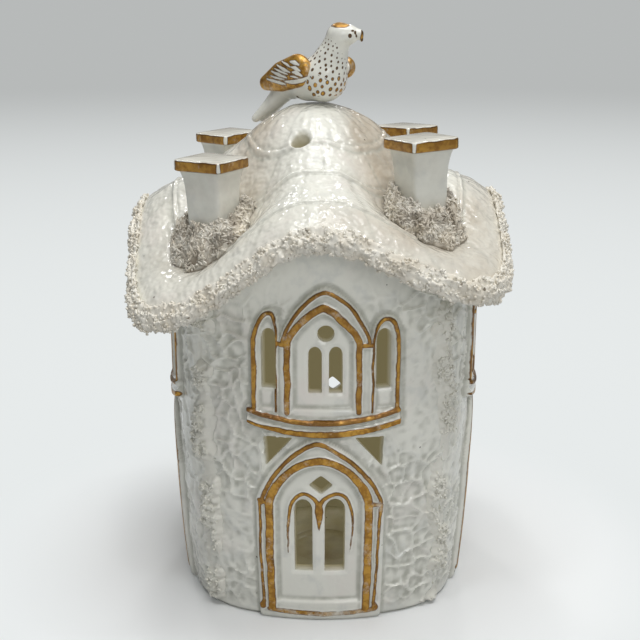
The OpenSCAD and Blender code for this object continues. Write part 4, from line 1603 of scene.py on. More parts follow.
        # Painted shade in the vent's bore, strongest at its edge.
        soot = self.vent_soot * (1 - ramp(gap, 0.02, 0.3)).ravel()
        numbers = {
            "stain": np.append(both_skins(self.stains(base), 0), [0, 0]),
            # Painted shade in the thatch's grooves and under the courses' edges.
            "hollow": np.append(both_skins(self.groove_shade * groove, 0), [0, 0]),
            "soot": np.concatenate([soot, inside, [0, 1]]),
            "mottle": np.append(both_skins(np.ones(half), 0), [1, 0]),
            "gilt": np.full(2 * half + 2, UNPAINTED),
        }
        faces = [whole[~ring], np.concatenate(fans)]
        piece = write_piece("thatched_roof", points, faces, numbers, self.sharp_angle)
        dress(piece, finishes.porcelain, HOUSE, "white_glaze", "roof")


# Points, faces and depths of strands that lie loose on a surface.
Loose = tuple[Array, list[Array], Array]


@dataclass
class Shreds:
    """Shreds of sieved clay: short curved strands that lie on a surface."""

    seed: int
    length: float
    radius: float
    flat: float = 0.55
    sides: int = 5
    rings: int = 4
    lift: tuple = (-0.45, 0.5)
    end_taper: float = 0.4

    def strands(self, feet: Array, normals: Array) -> Loose:
        """Strands on the given points, each an arc of a tube that tapers to both ends.

        Args:
            feet: Points on the surface.
            normals: Outward directions there.

        Returns:
            Points, faces and, for each point, how deep it lies.
        """
        rng = np.random.default_rng(self.seed)
        count = len(feet)
        along = rng.normal(size=(count, 3))
        along -= self.flat * np.einsum("ij,ij->i", along, normals)[:, None] * normals
        along /= np.linalg.norm(along, axis=1, keepdims=True)
        bend = np.cross(along, rng.normal(size=(count, 3)))
        bend /= np.linalg.norm(bend, axis=1, keepdims=True)
        long = self.length * rng.uniform(0.55, 1.45, count)
        thick = self.radius * rng.uniform(0.75, 1.25, count)
        curl = rng.uniform(0.3, 1.3, count) * long
        lift = rng.uniform(*self.lift, count) * self.radius * 2
        share = np.linspace(-0.5, 0.5, self.rings)
        middle = feet + lift[:, None] * normals
        line = middle[:, None] + along[:, None] * (share[None, :, None] * long[:, None, None])
        line = line + bend[:, None] * ((share**2 - 0.08)[None, :, None] * curl[:, None, None])
        run = np.gradient(line, axis=1)
        run /= np.linalg.norm(run, axis=2, keepdims=True)
        one = np.cross(run, np.cross(along, bend)[:, None])
        one /= np.linalg.norm(one, axis=2, keepdims=True)
        two = np.cross(run, one)
        taper = 1 - self.end_taper * (2 * np.abs(share)) ** 3
        turn = round_angles(self.sides)
        ring = np.cos(turn)[:, None] * one[:, :, None] + np.sin(turn)[:, None] * two[:, :, None]
        tube = line[:, :, None] + ring * (thick[:, None] * taper)[:, :, None, None]
        past = 0.5 * thick[:, None]
        ends = np.stack([line[:, 0] - past * run[:, 0], line[:, -1] + past * run[:, -1]], axis=1)
        each = self.rings * self.sides
        points = np.concatenate([tube.reshape(count, each, 3), ends], axis=1)
        shift = (np.arange(count) * (each + 2))[:, None, None]
        kinds = tube_faces(self.rings, self.sides)
        faces = [(face[None] + shift).reshape(-1, face.shape[1]) for face in kinds]
        deep = np.repeat(ramp(-lift, -0.7 * self.radius, 0.6 * self.radius)[:, None], each + 2, axis=1)
        return points.reshape(-1, 3), faces, deep.ravel()

    def cover(self, points: Array, quads: Array, count: int) -> tuple[Array, Array]:
        """Random places on a sheet of quads, spread by area.

        Args:
            points: Points of the sheet.
            quads: Quads of the sheet.
            count: How many places.

        Returns:
            The places, and the sheet's normals there.
        """
        rng = np.random.default_rng(self.seed + 1)
        a, b, c, d = (points[quads[:, i]] for i in range(4))
        cross = np.cross(c - a, d - b)
        area = np.linalg.norm(cross, axis=1)
        pick = rng.choice(len(quads), count, p=area / area.sum())
        u, v = rng.uniform(size=(2, count, 1))
        feet = (1 - u) * (1 - v) * a[pick] + u * (1 - v) * b[pick] + u * v * c[pick] + (1 - u) * v * d[pick]
        return feet, cross[pick] / area[pick][:, None]


@dataclass(frozen=True)
class MossCoat:
    """One kind of moss: how dirty it is and how strong the painted shade between its crumbs is, and how far
    the wall's glaze has run over it.
    """

    kind: str
    dirt: float
    glazed: float
    strand_depth: float = 0.28
    ground: float = 0.05
    sharp_angle: float = 180

    def build(
        self, place: Place, base: Array, quads: Array, hidden: Array, loose: Loose, finishes: Finishes
    ) -> None:
        """Joins a closed clay base and the strands that lie on it into one piece that keeps above the ground.

        Args:
            place: Where on the burner the moss is.
            base: Points of the base, its outer skin first.
            quads: Quads of the outer skin.
            hidden: How deep each point of the base lies between crumbs, which sets its painted shade.
            loose: Points, faces and depths of the strands.
            finishes: The burner's finishes.
        """
        points, faces, deep = loose
        everything = np.vstack([base, points])
        everything[:, 2] = np.maximum(everything[:, 2], self.ground)
        shell = outward(base, [shell_quads(quads, len(base) // 2)])
        numbers = {
            # Painted shade: between crumbs, and on strands that lie sunk in the base.
            "depth": np.concatenate([hidden, self.strand_depth * deep]),
            "dirt": np.full(len(everything), self.dirt),
            "glazed": np.full(len(everything), self.glazed),
        }
        name = f"{self.kind}_{place.label}"
        faces = shell + [face + len(base) for face in faces]
        piece = write_piece(f"shredded_{name}", everything, faces, numbers, self.sharp_angle)
        dress(piece, finishes.clay, HOUSE, "shredded_clay", name)


@dataclass
class EaveMoss:
    """A band of tufted shredded clay wrapped over the roof's edge along one gable."""

    side: Side
    form: RoofForm
    coat: MossCoat = MossCoat("eave_moss", dirt=0.2, glazed=0.25)
    section: tuple = ((-1.1, 0), (-0.9, 0.5), (-0.4, 0.85), (0.5, 0.7), (0.95, -1), (0.8, -2.6), (0, -3.4))
    swell: tuple = ((0, 0), (-0.4, 0.5), (-0.2, 1), (0.6, 0.8), (1, 0.3), (0.9, -0.4), (0, 0))
    core: tuple = (-0.6, -1.3)
    tuft_height: float = 1.2
    steps: int = 36
    inset: float = 0.4
    crumb: float = 0.95
    bare: float = 0.55
    strands: int = 900
    first_seed: int = 100
    crumb_shade: float = 0.4
    inner_shade: float = 0.9

    def rows(self) -> Array:
        """The band's section along the gable, out from the edge and up from the roof, pushed out by tufts.

        Returns:
            A fine grid of the section's two measures.
        """
        across, along = np.meshgrid(np.arange(len(self.section)), np.arange(self.steps + 1), indexing="ij")
        push = self.tuft_height * (tuft(across + 7 * self.side.value, along) - 0.5)
        return refined(np.array(self.section)[across] + push[..., None] * np.array(self.swell)[across], 6, 9)

    def build(self, finishes: Finishes) -> None:
        """Makes the band: a closed base of crumbs on the tufts, and strands all over its outer face.

        Args:
            finishes: The burner's finishes.
        """
        rows = self.rows()
        quarter = np.pi / 2
        bearing = np.linspace(-quarter / 2, quarter / 2, rows.shape[1]) + self.side.value * quarter - quarter
        bearing = np.broadcast_to(bearing, rows.shape[:2])
        edge = self.form.eave_r(bearing)
        place = np.concatenate([edge[..., None] * bearing[..., None], rows], axis=-1)
        lump = 0.3 * crumbs(place, 2.7, 81) + 0.42 * crumbs(place, 1.5, 83) + 0.28 * crumbs(place, 1.0, 85)
        away = rows - np.array(self.core)
        away = away / np.linalg.norm(away, axis=-1, keepdims=True)
        rows = rows + away * (self.crumb * lump - self.inset)[..., None]
        reach = edge + rows[..., 0]
        bare = self.bare * ramp(edge - reach, -0.2, 0.4)
        height = self.form.z(np.minimum(reach, edge), bearing) + bare + rows[..., 1]
        outer = polar(reach, bearing, height)
        core_reach, core_z = edge + self.core[0], self.form.z(edge, bearing) + self.core[1]
        inner = polar(core_reach + 0.3 * (reach - core_reach), bearing, core_z + 0.2 * (height - core_z))
        quads = grid_quads(*reach.shape)
        base = self.form.to_tower(np.vstack([outer.reshape(-1, 3), inner.reshape(-1, 3)]))
        shreds = Shreds(self.first_seed + self.side.value, length=0.6, radius=0.34, flat=0.6)
        sheet = base[: reach.size]
        feet, normals = shreds.cover(sheet, quads, self.strands)
        flip = np.sign(np.einsum("ij,ij->i", normals, feet - sheet.mean(axis=0) * np.array([0.9, 0.9, 1])))
        loose = shreds.strands(feet, normals * np.where(np.median(flip) < 0, -1, 1))
        hidden = both_skins(self.crumb_shade * (1 - lump) ** 2, self.inner_shade)
        self.coat.build(self.side, base, quads, hidden, loose, finishes)


@dataclass
class ChimneyMoss:
    """A heap of shredded clay round one chimney's foot."""

    corner: Corner
    form: RoofForm
    turn: float
    coat: MossCoat = MossCoat("chimney_moss", dirt=1.0, glazed=0)
    reach: float = 9.2
    height: float = 7.8
    collar: float = 4.35
    chimney_reach: float = 23
    bare: float = 0.95
    crumb: float = 0.7
    sink: float = 0.4
    heights: tuple = (0, 0.78, 1, 0.72, 0.32, 0)
    shares: tuple = (0, 0.02, 0.3, 0.65, 0.9, 1)
    around: int = 28
    strands: int = 2000
    first_seed: int = 200

    def build(self, finishes: Finishes) -> None:
        """Makes the heap: a ring that rises from the shaft's square collar and falls to a ragged edge.

        Args:
            finishes: The burner's finishes.
        """
        seed = self.corner.number
        level, step = np.meshgrid(np.arange(len(self.shares)), np.arange(self.around + 1), indexing="ij")
        angle = step * 2 * np.pi / self.around
        step = step % self.around
        quarter = np.mod(angle - self.turn + np.pi / 4, np.pi / 2) - np.pi / 4
        inner = self.collar / np.cos(quarter)
        outer = self.reach * (0.84 + 0.34 * tuft(seed, step))
        up = self.height * np.array(self.heights)[level] * (0.75 + 0.4 * tuft(seed + 3 * level, step))
        inward = 0.5 - 0.5 * np.cos(angle - math.atan2(self.corner.value[1], self.corner.value[0]))
        up = up * (1 - 0.45 * inward**2)
        reach = inner + (outer - inner) * np.array(self.shares)[level] * (1 - 0.3 * inward**2)
        fine = refined(np.stack([reach, up, angle], axis=-1), 5, 4)[:, :-1]
        reach, up, angle = fine[..., 0], fine[..., 1], fine[..., 2]
        x = self.chimney_reach * self.corner.value[0] + reach * np.cos(angle)
        y = self.chimney_reach * self.corner.value[1] + reach * np.sin(angle)
        lump = crumbs(np.stack([x, y, up], axis=-1), 1.7, 93)
        ground = self.form.at(x, y)
        heap = (up + self.crumb * lump - 0.55) * ramp(up, -0.1, 0.8)
        upper = np.stack([x, y, ground + self.bare + heap - self.sink], axis=-1)
        lower = np.stack([x, y, ground - 0.3], axis=-1)
        quads = grid_quads(*reach.shape, wrap=True)
        base = self.form.to_tower(np.vstack([upper.reshape(-1, 3), lower.reshape(-1, 3)]))
        shreds = Shreds(self.first_seed + seed, length=1.3, radius=0.26, flat=0.6, sides=4, rings=5)
        feet, normals = shreds.cover(base[: reach.size], quads, self.strands)
        loose = shreds.strands(feet, normals * np.where(normals[:, 2:] < 0, -1, 1))
        # Painted shade between the heap's crumbs, full on its inner skin.
        hidden = both_skins(0.8 - 0.7 * lump, 1)
        self.coat.build(self.corner, base, quads, hidden, loose, finishes)


@dataclass
class CornerCreeper:
    """Sparse shredded clay up one corner of the tower, over the seam of two walls, half under the glaze."""

    corner: Corner
    tower: TowerForm
    roof: RoofForm
    coat: MossCoat = MossCoat("corner_creeper", dirt=0.05, glazed=0.92)
    half_angle: float = math.radians(12.8)
    foot: float = 1.2
    root_depth: float = 1.1
    strands: int = 420
    choice: int = 4
    rows: int = 230
    columns: int = 25
    first_seed: int = 300
    strand_shade: float = 0.1
    crumb_shade: float = 0.12

    def build(self, finishes: Finishes) -> None:
        """Makes the strip: a thin skin that dives into the walls at its edges, with crumbs in clumps.

        Args:
            finishes: The burner's finishes.
        """
        seed = self.corner.number
        share, row = np.meshgrid(np.linspace(-1, 1, self.columns), np.linspace(0, 1, self.rows))
        middle = math.pi / 4
        turn = middle + share * self.half_angle
        x, y = quarter_turned(*self.tower.plan(np.array([middle]), 0), seed - 1)
        top = self.roof.underside(x, y)[0]
        z = self.foot + (top - self.foot) * row
        place = np.stack([share * 4 + 40 * seed, z], axis=-1)
        wander = share + 0.5 * soft_noise(place[..., 1:], 9, 94 + seed)
        clumps = ramp(soft_noise(place, 6, 95, 2), -0.5, 0.4) * (1 - ramp(np.abs(wander), 0.35, 1.1))
        lump = 0.65 * crumbs(place, 1.6, 97) + 0.35 * crumbs(place, 0.95, 99)
        fold = ramp(np.abs(share), 0.7, 1)
        level = 0.22 * soft_noise(place, 3.2, 96, 2) - 0.05 - 0.7 * ramp(np.abs(share), 0.2, 1)
        out = clumps * (0.5 + 1.7 * lump) * (1 - fold) + level
        skins = []
        for offset in (out, np.full(z.shape, -self.root_depth)):
            skin = quarter_turned(*self.tower.plan(turn, self.tower.batter(z) + offset), seed - 1)
            skins.append(np.stack([*skin, z], axis=-1).reshape(-1, 3))
        quads = grid_quads(*z.shape)
        shreds = Shreds(self.first_seed + seed, length=0.6, radius=0.3, flat=0.7)
        feet, normals = shreds.cover(skins[0], quads, self.strands * self.choice)
        normals = normals * np.sign(np.einsum("ij,ij->i", normals, feet - np.array([0, 0, 40])))[:, None]
        high = np.hypot(feet[:, 0], feet[:, 1]) - np.hypot(x, y) - self.tower.batter(feet[:, 2])
        chance = 0.2 * np.random.default_rng(seed).normal(size=len(high))
        chosen = np.argsort(-high + chance)[: self.strands]
        points, faces, deep = shreds.strands(feet[chosen], normals[chosen])
        hidden = both_skins(self.crumb_shade * clumps * (1 - lump), 0.1)
        loose = (points, faces, self.strand_shade * deep)
        self.coat.build(self.corner, np.vstack(skins), quads, hidden, loose, finishes)


@dataclass
class Chimney:
    """A square chimney with a flared shaft and a flat cap whose sides are gilded between white corners."""

    corner: Corner
    form: RoofForm
    turn: float
    reach: float = 23
    height: float = 20.6
    root_depth: float = 3.5
    cap_half: float = 6.2
    cap_thickness: float = 2.5
    cap_crown: float = 0.3
    cap_tilt: float = 0.03
    shaft_top: float = 5.5
    shaft_foot: float = 4.3
    flare_z: float = 4
    around: int = 160
    cap_squareness: float = 14
    shaft_squareness: float = 9
    corner_gap: float = 0.7
    unevenness: float = 0.014
    brush_wobble: float = 0.16
    gilt_wear: float = 0.02
    gilt_tone: float = 0.42
    crack_half: float = 0.11
    crack_length: float = 3.2

    @property
    def neck(self) -> float:
        """Height of the cap's underside."""
        return self.height - self.cap_thickness

    def profile(self) -> Array:
        """The chimney's section: a shaft that flares as a power, then the cap with soft edges.

        Returns:
            Half width and height, one pair per row.
        """
        rise = np.linspace(-self.root_depth, self.neck - 0.15, 26)
        share = np.clip((rise - self.flare_z) / (self.neck - self.flare_z), 0, 1)
        flare = 0.3 * share + 0.7 * share**6
        shaft = np.stack([self.shaft_foot + (self.shaft_top - self.shaft_foot) * flare, rise], axis=-1)
        cap, neck, top = self.cap_half, self.neck, self.height
        edge = [
            (self.shaft_top + 0.2, neck - 0.02),
            (cap - 0.35, neck + 0.02),
            (cap - 0.05, neck + 0.25),
            (cap, neck + 0.7),
            (cap, neck + 1.6),
            (cap - 0.04, top - 0.35),
            (cap - 0.3, top - 0.06),
            (cap - 0.9, top),
        ]
        inset = np.linspace(cap - 1.4, 0.25, 12)
        crown = np.stack([inset, top + self.cap_crown * (1 - (inset / cap) ** 2)], axis=-1)
        return np.vstack([shaft, spline(edge, 6), crown])

    def paint(self, local: Array, half: Array) -> dict[str, Array]:
        """Numbers for the finish: the cap's gilding, stains at the foot and on top, painted shade on the
        shaft under the cap, and one chimney's crack.

        Args:
            local: Points of the chimney's own frame.
            half: Half widths of the section there.

        Returns:
            A number for each point and for the two end points, by name.
        """
        rise, neck = local[..., 2], self.neck
        flat = np.minimum(np.abs(local[..., 0]), np.abs(local[..., 1]))
        wave = self.brush_wobble * soft_noise(local + 9 * self.corner.number, 2.2, 103, 2)
        band = np.minimum(rise - neck + 0.15, self.height - 0.22 - rise) + wave
        gilt = np.minimum(band, self.cap_half - self.corner_gap - flat + 1.5 * wave)
        gilt = np.where(half < self.cap_half - 0.5, UNPAINTED, gilt)
        stain = 0.45 * (1 - ramp(rise, 4, 9.5)) + 0.15 * ramp(soft_noise(local, 5, 107, 2), 0, 0.8)
        stain = stain + 0.3 * ramp(rise, self.height - 0.3, self.height)
        stray = local[..., 0] - 0.25 * soft_noise(local, 1.2, 109)
        crack = self.crack_half - np.hypot(local[..., 1] + self.shaft_top, stray)
        cracked = (rise > neck - self.crack_length) & (rise < neck) & (self.corner is Corner.FRONT_RIGHT)
        return {
            "gilt": np.append(gilt.ravel(), [UNPAINTED, UNPAINTED]),
            "wear": np.full(gilt.size + 2, self.gilt_wear),
            "tone": np.full(gilt.size + 2, self.gilt_tone),
            "stain": np.append(stain.ravel(), [0, 0]),
            # Painted shade on the shaft under the cap, faint on the cap.
            "hollow": np.append(np.where(rise < neck, 0.3, 0.05).ravel(), [0.3, 0.05]),
            "brown": np.append(np.where(cracked, crack, UNPAINTED).ravel(), [UNPAINTED, UNPAINTED]),
        }

    def build(self, finishes: Finishes) -> None:
        """Makes the chimney: its section carried round a square, rounder on the shaft than on the cap.

        Args:
            finishes: The burner's finishes.
        """
        profile = self.profile()
        half, angle = np.meshgrid(profile[:, 0], round_angles(self.around), indexing="ij")
        rise = np.broadcast_to(profile[:, 1:], half.shape)
        power = np.where(rise < self.neck - 0.1, self.shaft_squareness, self.cap_squareness)
        square = (np.abs(np.cos(angle)) ** power + np.abs(np.sin(angle)) ** power) ** (-1 / power)
        seed = self.corner.number
        local = polar(half * square, angle, rise)
        uneven = 1 + self.unevenness * soft_noise(local + 40 * seed, 6, 101, 2)
        tilt = self.cap_tilt * (local[..., 0] * (1 if seed % 2 else -1))
        tilt = tilt * ramp(rise, self.height - 4, self.height)
        local = local * np.stack([uneven, uneven, np.ones_like(uneven)], axis=-1)
        numbers = self.paint(local, half)
        x, y = rotated(local[..., 0], local[..., 1], self.turn)
        centre = self.reach * np.array(self.corner.value, float)
        z = self.form.at(*centre) + rise + tilt
        points = np.stack([centre[0] + x, centre[1] + y, z], axis=-1).reshape(-1, 3)
        ends = np.array([[*centre, z[0].mean()], [*centre, z[-1].mean()]])
        points = self.form.to_tower(np.vstack([points, ends]))
        name = f"chimney_{self.corner.label}"
        piece = write_piece(f"capped_{name}", points, list(tube_faces(len(profile), self.around)), numbers)
        dress(piece, finishes.porcelain, HOUSE, "chimney_glaze", name)


@dataclass
class Bird:
    """The bird on the dome: a modelled body with painted spots, and two gilded wings."""

    form: RoofForm
    turn: float = math.radians(-35)
    head_turn: float = math.radians(20)
    breast: float = 5.2
    nape_x: float = 7.18
    head_lift: float = 14.6
    step: float = 0.22
    dome_lift: float = 0.275
    dome_lap: float = 0.4
    spot_pitch: float = 0.84
    spot_growth: float = 0.046
    gilt_spots_z: float = 5.6
    streak_width: float = 1.4
    streak_height: float = 0.12
    wing_thickness: float = 1.5
    body_wear: float = 0.02
    wing_wear: float = 0.14
    sharp_angle: float = 70

    def to_tower(self, points: Array) -> Array:
        """Points of the bird's own frame, facing +X, carried to the crown of the dome."""
        x, y = rotated(points[..., 0], points[..., 1], self.turn)
        z = points[..., 2] + self.form.crown_z() + self.dome_lift
        return self.form.to_tower(np.stack([x, y, z], axis=-1))

    def head(self, x: float, y: float, z: float) -> Array:
        """A place on the head, from the nape in the head's own turn."""
        x, y = rotated(x, y, self.head_turn)
        return np.array([self.nape_x + x, y, self.head_lift + z])

    def cone(self, points: Array, start: Array, end: Array, r_start: float, r_end: float) -> Array:
        """Distance outside two balls and the cone between them, with its slant taken into account.

        Args:
            points: Points to measure from.
            start: Middle of the first ball.
            end: Middle of the second ball.
            r_start: Radius of the first ball.
            r_end: Radius of the second ball.

        Returns:
            The distances, negative inside.
        """
        run = np.asarray(end, float) - start
        size = run @ run
        taper = r_start - r_end
        share = np.clip(((points - start) @ run) / size, 0, 1)
        away = np.linalg.norm(points - start - share[..., None] * run, axis=-1)
        slope = taper * taper / size
        shifted = np.clip(share - away * taper / size / math.sqrt(max(1 - slope, 0.05)), 0, 1)
        away = np.linalg.norm(points - start - shifted[..., None] * run, axis=-1)
        return away - (r_start - taper * shifted)

    def joined(self, parts: list[Array], soft: float) -> Array:
        """Soft minimum of distances: minus the logarithm of the sum of the exponentials of minus each."""
        return -soft * np.log(sum(np.exp(-np.clip(part, -9, 9) / soft) for part in parts))

    def field(self, points: Array) -> Array:
        """Distance outside the body: cones along the bird joined by a soft minimum, cut to the dome below.

        Args:
            points: Points of the bird's own frame.

        Returns:
            The distances, negative inside.
        """
        b = self.breast
        spine = [
            (np.array([-9.6, 0, b - 3.9]), 1.8),
            (np.array([-6.8, 0, b - 1.8]), 3.4),
            (np.array([-2.2, 0, b - 0.8]), 4.6),
            (np.array([2.5, 0, b - 0.3]), b + 0.05),
            (np.array([5.0, 0, (b + self.head_lift) / 2]), 3.4),
            (self.head(0, 0, 0), 2.75),
        ]
        tail, tail_radius = spine[0]
        tips = [np.array([-15.9, side, -5.0]) for side in (-3, -1, 1, 3)]
        body = [self.cone(points, tail, tip, tail_radius, 0.95) for tip in tips]
        for (start, r_start), (end, r_end) in zip(spine, spine[1:]):
            body.append(self.cone(points, start, end, r_start, r_end))
        face = [
            self.cone(points, self.head(0, 0, 0), self.head(2.4, 0, 0.1), 2.8, 2.2),
            self.cone(points, self.head(3.0, 0, 0.3), self.head(4.75, 0, 0.35), 1.5, 0.75),
            self.cone(points, self.head(4.75, 0, 0.3), self.head(5.15, 0, -1.25), 0.75, 0.36),
        ]
        whole = self.joined([self.joined(body, 0.5), self.joined(face, 0.3)], 0.3)
        x, y = rotated(points[..., 0], points[..., 1], self.turn)
        dome = self.form.at(x, y) - self.form.sunk(np.hypot(x, y)) - self.form.crown_z() - self.dome_lap
        return np.maximum(whole, dome - points[..., 2])

    def mesh(
        self, distance: Callable[[Array], Array], lowest: Sequence[float], size: Sequence[float]
    ) -> tuple[Array, Array]:
        """The surface of a field over a box.

        Args:
            distance: The field, negative inside.
            lowest: The box's lowest corner.
            size: The box's size.

        Returns:
            The points, and the quads.
        """
        counts = np.ceil(np.array(size) / self.step).astype(int)
        axes = [lowest[i] + self.step * np.arange(counts[i]) for i in range(3)]
        values = distance(np.stack(np.meshgrid(*axes, indexing="ij"), axis=-1))
        return surface_net(values, np.array(lowest), self.step)

    def spots(self, points: Array) -> tuple[Array, Array]:
        """Painted spots: staggered rows round the line from head to breast, growing downwards.

        Args:
            points: Points of the body in the bird's own frame.

        Returns:
            Depth inside a brown spot, and depth inside a gilt spot.
        """
        start, end = np.array([7.2, 0, 14.6]), np.array([1.7, 0, 1.6])
        axis = (end - start) / np.linalg.norm(end - start)
        gap = points - start
        down = gap @ axis
        level = gap - down[:, None] * axis
        ahead = np.cross(np.array([0, 1.0, 0]), axis)
        angle = np.arctan2(level[:, 1], level @ ahead)
        around = np.maximum(np.linalg.norm(level, axis=1), 1.5)
        pitch, growth = self.spot_pitch, self.spot_growth
        row = np.floor(np.log(np.maximum(1 + growth * down / pitch, 0.2)) / growth)
        best = np.full(len(points), UNPAINTED)
        for shift in (-1, 0, 1):
            here = row + shift
            apart = pitch * np.exp(growth * (here + 0.5))
            round_row = np.interp(here, [0, 5, 11, 14], [2.9, 3.5, 5.2, 5.2])
            count = np.maximum(np.round(2 * np.pi * round_row / (1.25 * apart)), 6)
            place = angle / (2 * np.pi) * count + 0.5 * (here % 2)
            column = np.round(place)
            cell = np.stack([here, column], axis=-1).astype(np.int64)
            side = (place - column + 0.3 * (lattice(cell, 3) - 0.5)) / count * 2 * np.pi * around
            along = down - (apart - pitch) / growth + 0.3 * apart * (lattice(cell, 5) - 0.5)
            size = (0.25 + 0.009 * here) * apart * (0.72 + 0.42 * lattice(cell, 7))
            best = np.maximum(best, size - np.hypot(side, along * 0.8))
        x, z = points[:, 0], points[:, 2]
        shown = (down > 0.5) & ((x > 1.4) | (z > 8.6)) & (z > 0.9) & (x < self.nape_x + 1.5)
        best = np.where(shown, best, UNPAINTED)
        low = z < self.gilt_spots_z + 0.8 * soft_noise(points, 2, 111)
        return np.where(low, UNPAINTED, best), np.where(low, best, UNPAINTED)

    def dab(self, points: Array, centre: Array, radii: Sequence[float], scale: float) -> Array:
        """Depth inside an ellipsoid dab of paint in the head's own turn.

        Args:
            points: Points of the bird's own frame.
            centre: Middle of the dab.
            radii: Its three radii.
            scale: Depth at its middle.

        Returns:
            The depths, negative outside.
        """
        gap = points - centre
        own = np.stack([*rotated(gap[:, 0], gap[:, 1], -self.head_turn), gap[:, 2]], axis=-1)
        return (1 - np.linalg.norm(own / np.array(radii), axis=1)) * scale

    def build_body(self, finishes: Finishes) -> None:
        """Makes the body from its field, and paints spots, crown, eyes, beak, nape, and a dark dab under the
        belly that is partly painted shade.

        Args:
            finishes: The burner's finishes.
        """
        points, quads = self.mesh(self.field, (-19.6, -6.8, -6.4), (34.2, 13.6, 25.6))
        brown, gilt = self.spots(points)
        crown_and_beak = [((0.5, -1.1, 2.4), (2.2, 1.6, 1.1)), ((5.35, 0, -0.2), (0.6, 0.9, 1.5))]
        for place, radii in crown_and_beak:
            gilt = np.maximum(gilt, self.dab(points, self.head(*place), radii, 1))
        beak = [((5.45, 0, 0.5), (0.35, 0.6, 0.9)), ((5.25, 0, -1.0), (0.5, 0.6, 0.5))]
        nape = [((-2.6, -0.6, 0.8), (0.8, 0.7, 0.6))]
        eyes = []
        for side in (-1, 1):
            eyes.append(((2.95, side * 2.2, -0.1), (0.5, 0.9, 0.62)))
            eyes.append(((3.5, side * 1.75, 1.0), (0.45, 0.7, 0.26)))
            eyes.append(((4.0, side * 1.4, 0.6), (0.28, 0.7, 0.5)))
            eyes.append(((4.2, side * 1.2, -0.15), (0.22, 0.7, 0.5)))
        for place, radii in beak + nape + eyes:
            brown = np.maximum(brown, self.dab(points, self.head(*place), radii, 0.4))
        # A brown dab low on the belly where it rests on the dome: a brown drip, and painted shade of the gap
        # under the belly.
        brown = np.maximum(brown, self.dab(points, np.array([-3.2, -3.4, 0.3]), (0.9, 0.9, 0.6), 0.5))
        numbers = {"brown": brown, "gilt": gilt, "wear": np.full(len(points), self.body_wear)}
        piece = write_piece("painted_bird_body", self.to_tower(points), [quads], numbers, self.sharp_angle)
        dress(piece, finishes.porcelain, HOUSE, "bird_glaze", "bird_body")

    def wing_streaks(self) -> list[Stroke]:
        """White streaks left in a wing's gilding, on the right wing's side view.

        Returns:
            One stroke for each streak.
        """
        lines = [
            ([(-11.3, 4.6), (-8.4, 4.25), (-6, 3.9), (-4.4, 3.65)], (0.1, 0.24, 0.26, 0.08)),
            ([(-4.5, 4.3), (-2.1, 4.25), (0.6, 4.7), (2.0, 5.5)], (0.08, 0.34, 0.3, 0.06)),
            ([(-10.3, 5.5), (-7.6, 5.1), (-4.6, 4.75)], (0.06, 0.18, 0.06)),
            ([(-9.6, 6.5), (-6.6, 5.85), (-3.6, 5.2)], (0.1, 0.28, 0.1)),
            ([(-8.6, 7.2), (-5.8, 6.55), (-3.2, 6.0)], (0.05, 0.16, 0.08)),
            ([(-7.6, 8.0), (-4.6, 7.05), (-2.4, 6.5)], (0.08, 0.27, 0.1)),
            ([(-6.2, 8.9), (-3.6, 8.2), (-2.4, 7.7)], (0.06, 0.2, 0.08)),
            ([(-2.6, 8.9), (-1.2, 8.75), (0.1, 8.2)], (0.12, 0.34, 0.12)),
            ([(-2.0, 7.7), (-0.8, 7.5), (0.4, 6.9)], (0.1, 0.3, 0.1)),
            ([(-1.6, 6.6), (-0.4, 6.4), (0.7, 5.7)], (0.1, 0.36, 0.12)),
            ([(-2.4, 5.6), (-1.2, 5.5), (0.0, 5.2)], (0.06, 0.2, 0.06)),
        ]
        return [Stroke(spline(path), self.streak_width * np.array(half), 0, 0) for path, half in lines]

    def wing_places(self, hand: Hand) -> tuple[Array, Array, Array]:
        """The balls that a wing's cones join, at its tip, fold and shoulder.

        Args:
            hand: Which wing.

        Returns:
            Places, radii and half thicknesses.
        """
        near = hand is Hand.RIGHT
        shoulder = (-0.3, 0.9, 1.3) if near else (0.8, 1.33, 1.34)
        fold = (-1.38, 0.7, 1) if near else (-0.6, 0.87, 1.12)
        tip = (-2.5, 0.52, 0.66) if near else (-2.2, 0.52, 0.7)
        radii = np.array([0.32, 0.67, 0.74 if near else 0.5]) * self.breast
        places = np.array([tip, fold, shoulder]) * self.breast * np.array([1, hand.value, 1])
        return places, radii, np.array([0.43, 1.2, 1.44]) * self.wing_thickness

    def build_wing(self, hand: Hand, finishes: Finishes) -> None:
        """Makes one wing: cones through tip, fold and shoulder, flattened across, with raised streaks.

        Args:
            hand: Which wing.
            finishes: The burner's finishes.
        """
        places, radii, thick = self.wing_places(hand)
        side_view = np.array([1, 0, 1])
        tip, fold, shoulder = places * side_view
        shift = self.wing_places(Hand.RIGHT)[0][1] - places[1]

        def streaked(points: Array) -> Array:
            """Depth inside a white streak, on the side view."""
            x, z = points[..., 0] + shift[0], points[..., 2] + shift[2]
            return np.maximum.reduce([stroke.depth(x, z) for stroke in self.wing_streaks()])

        def across(points: Array) -> Array:
            """Distance out from the wing's middle sheet."""
            return hand.value * (points[..., 1] - np.interp(points[..., 0], places[:, 0], places[:, 1]))

        def outline(points: Array) -> Array:
            """Distance outside the two cones."""
            rear = self.cone(points, tip, fold, radii[0], radii[1])
            return np.minimum(rear, self.cone(points, fold, shoulder, radii[1], radii[2]))

        def distance(points: Array) -> Array:
            """Distance outside the wing, with its thickness stretched to the cones' roundness.

            Args:
                points: Points of the bird's own frame.

            Returns:
                The distances, negative inside.
            """
            out = across(points)
            stretch = np.interp(points[..., 0], places[:, 0], radii / thick)
            round_points = np.stack([points[..., 0], out * stretch, points[..., 2]], axis=-1)
            proud = self.streak_height * ramp(streaked(points), -0.15, 0.2) * ramp(out, 0.2, 0.8)
            return outline(round_points) - proud

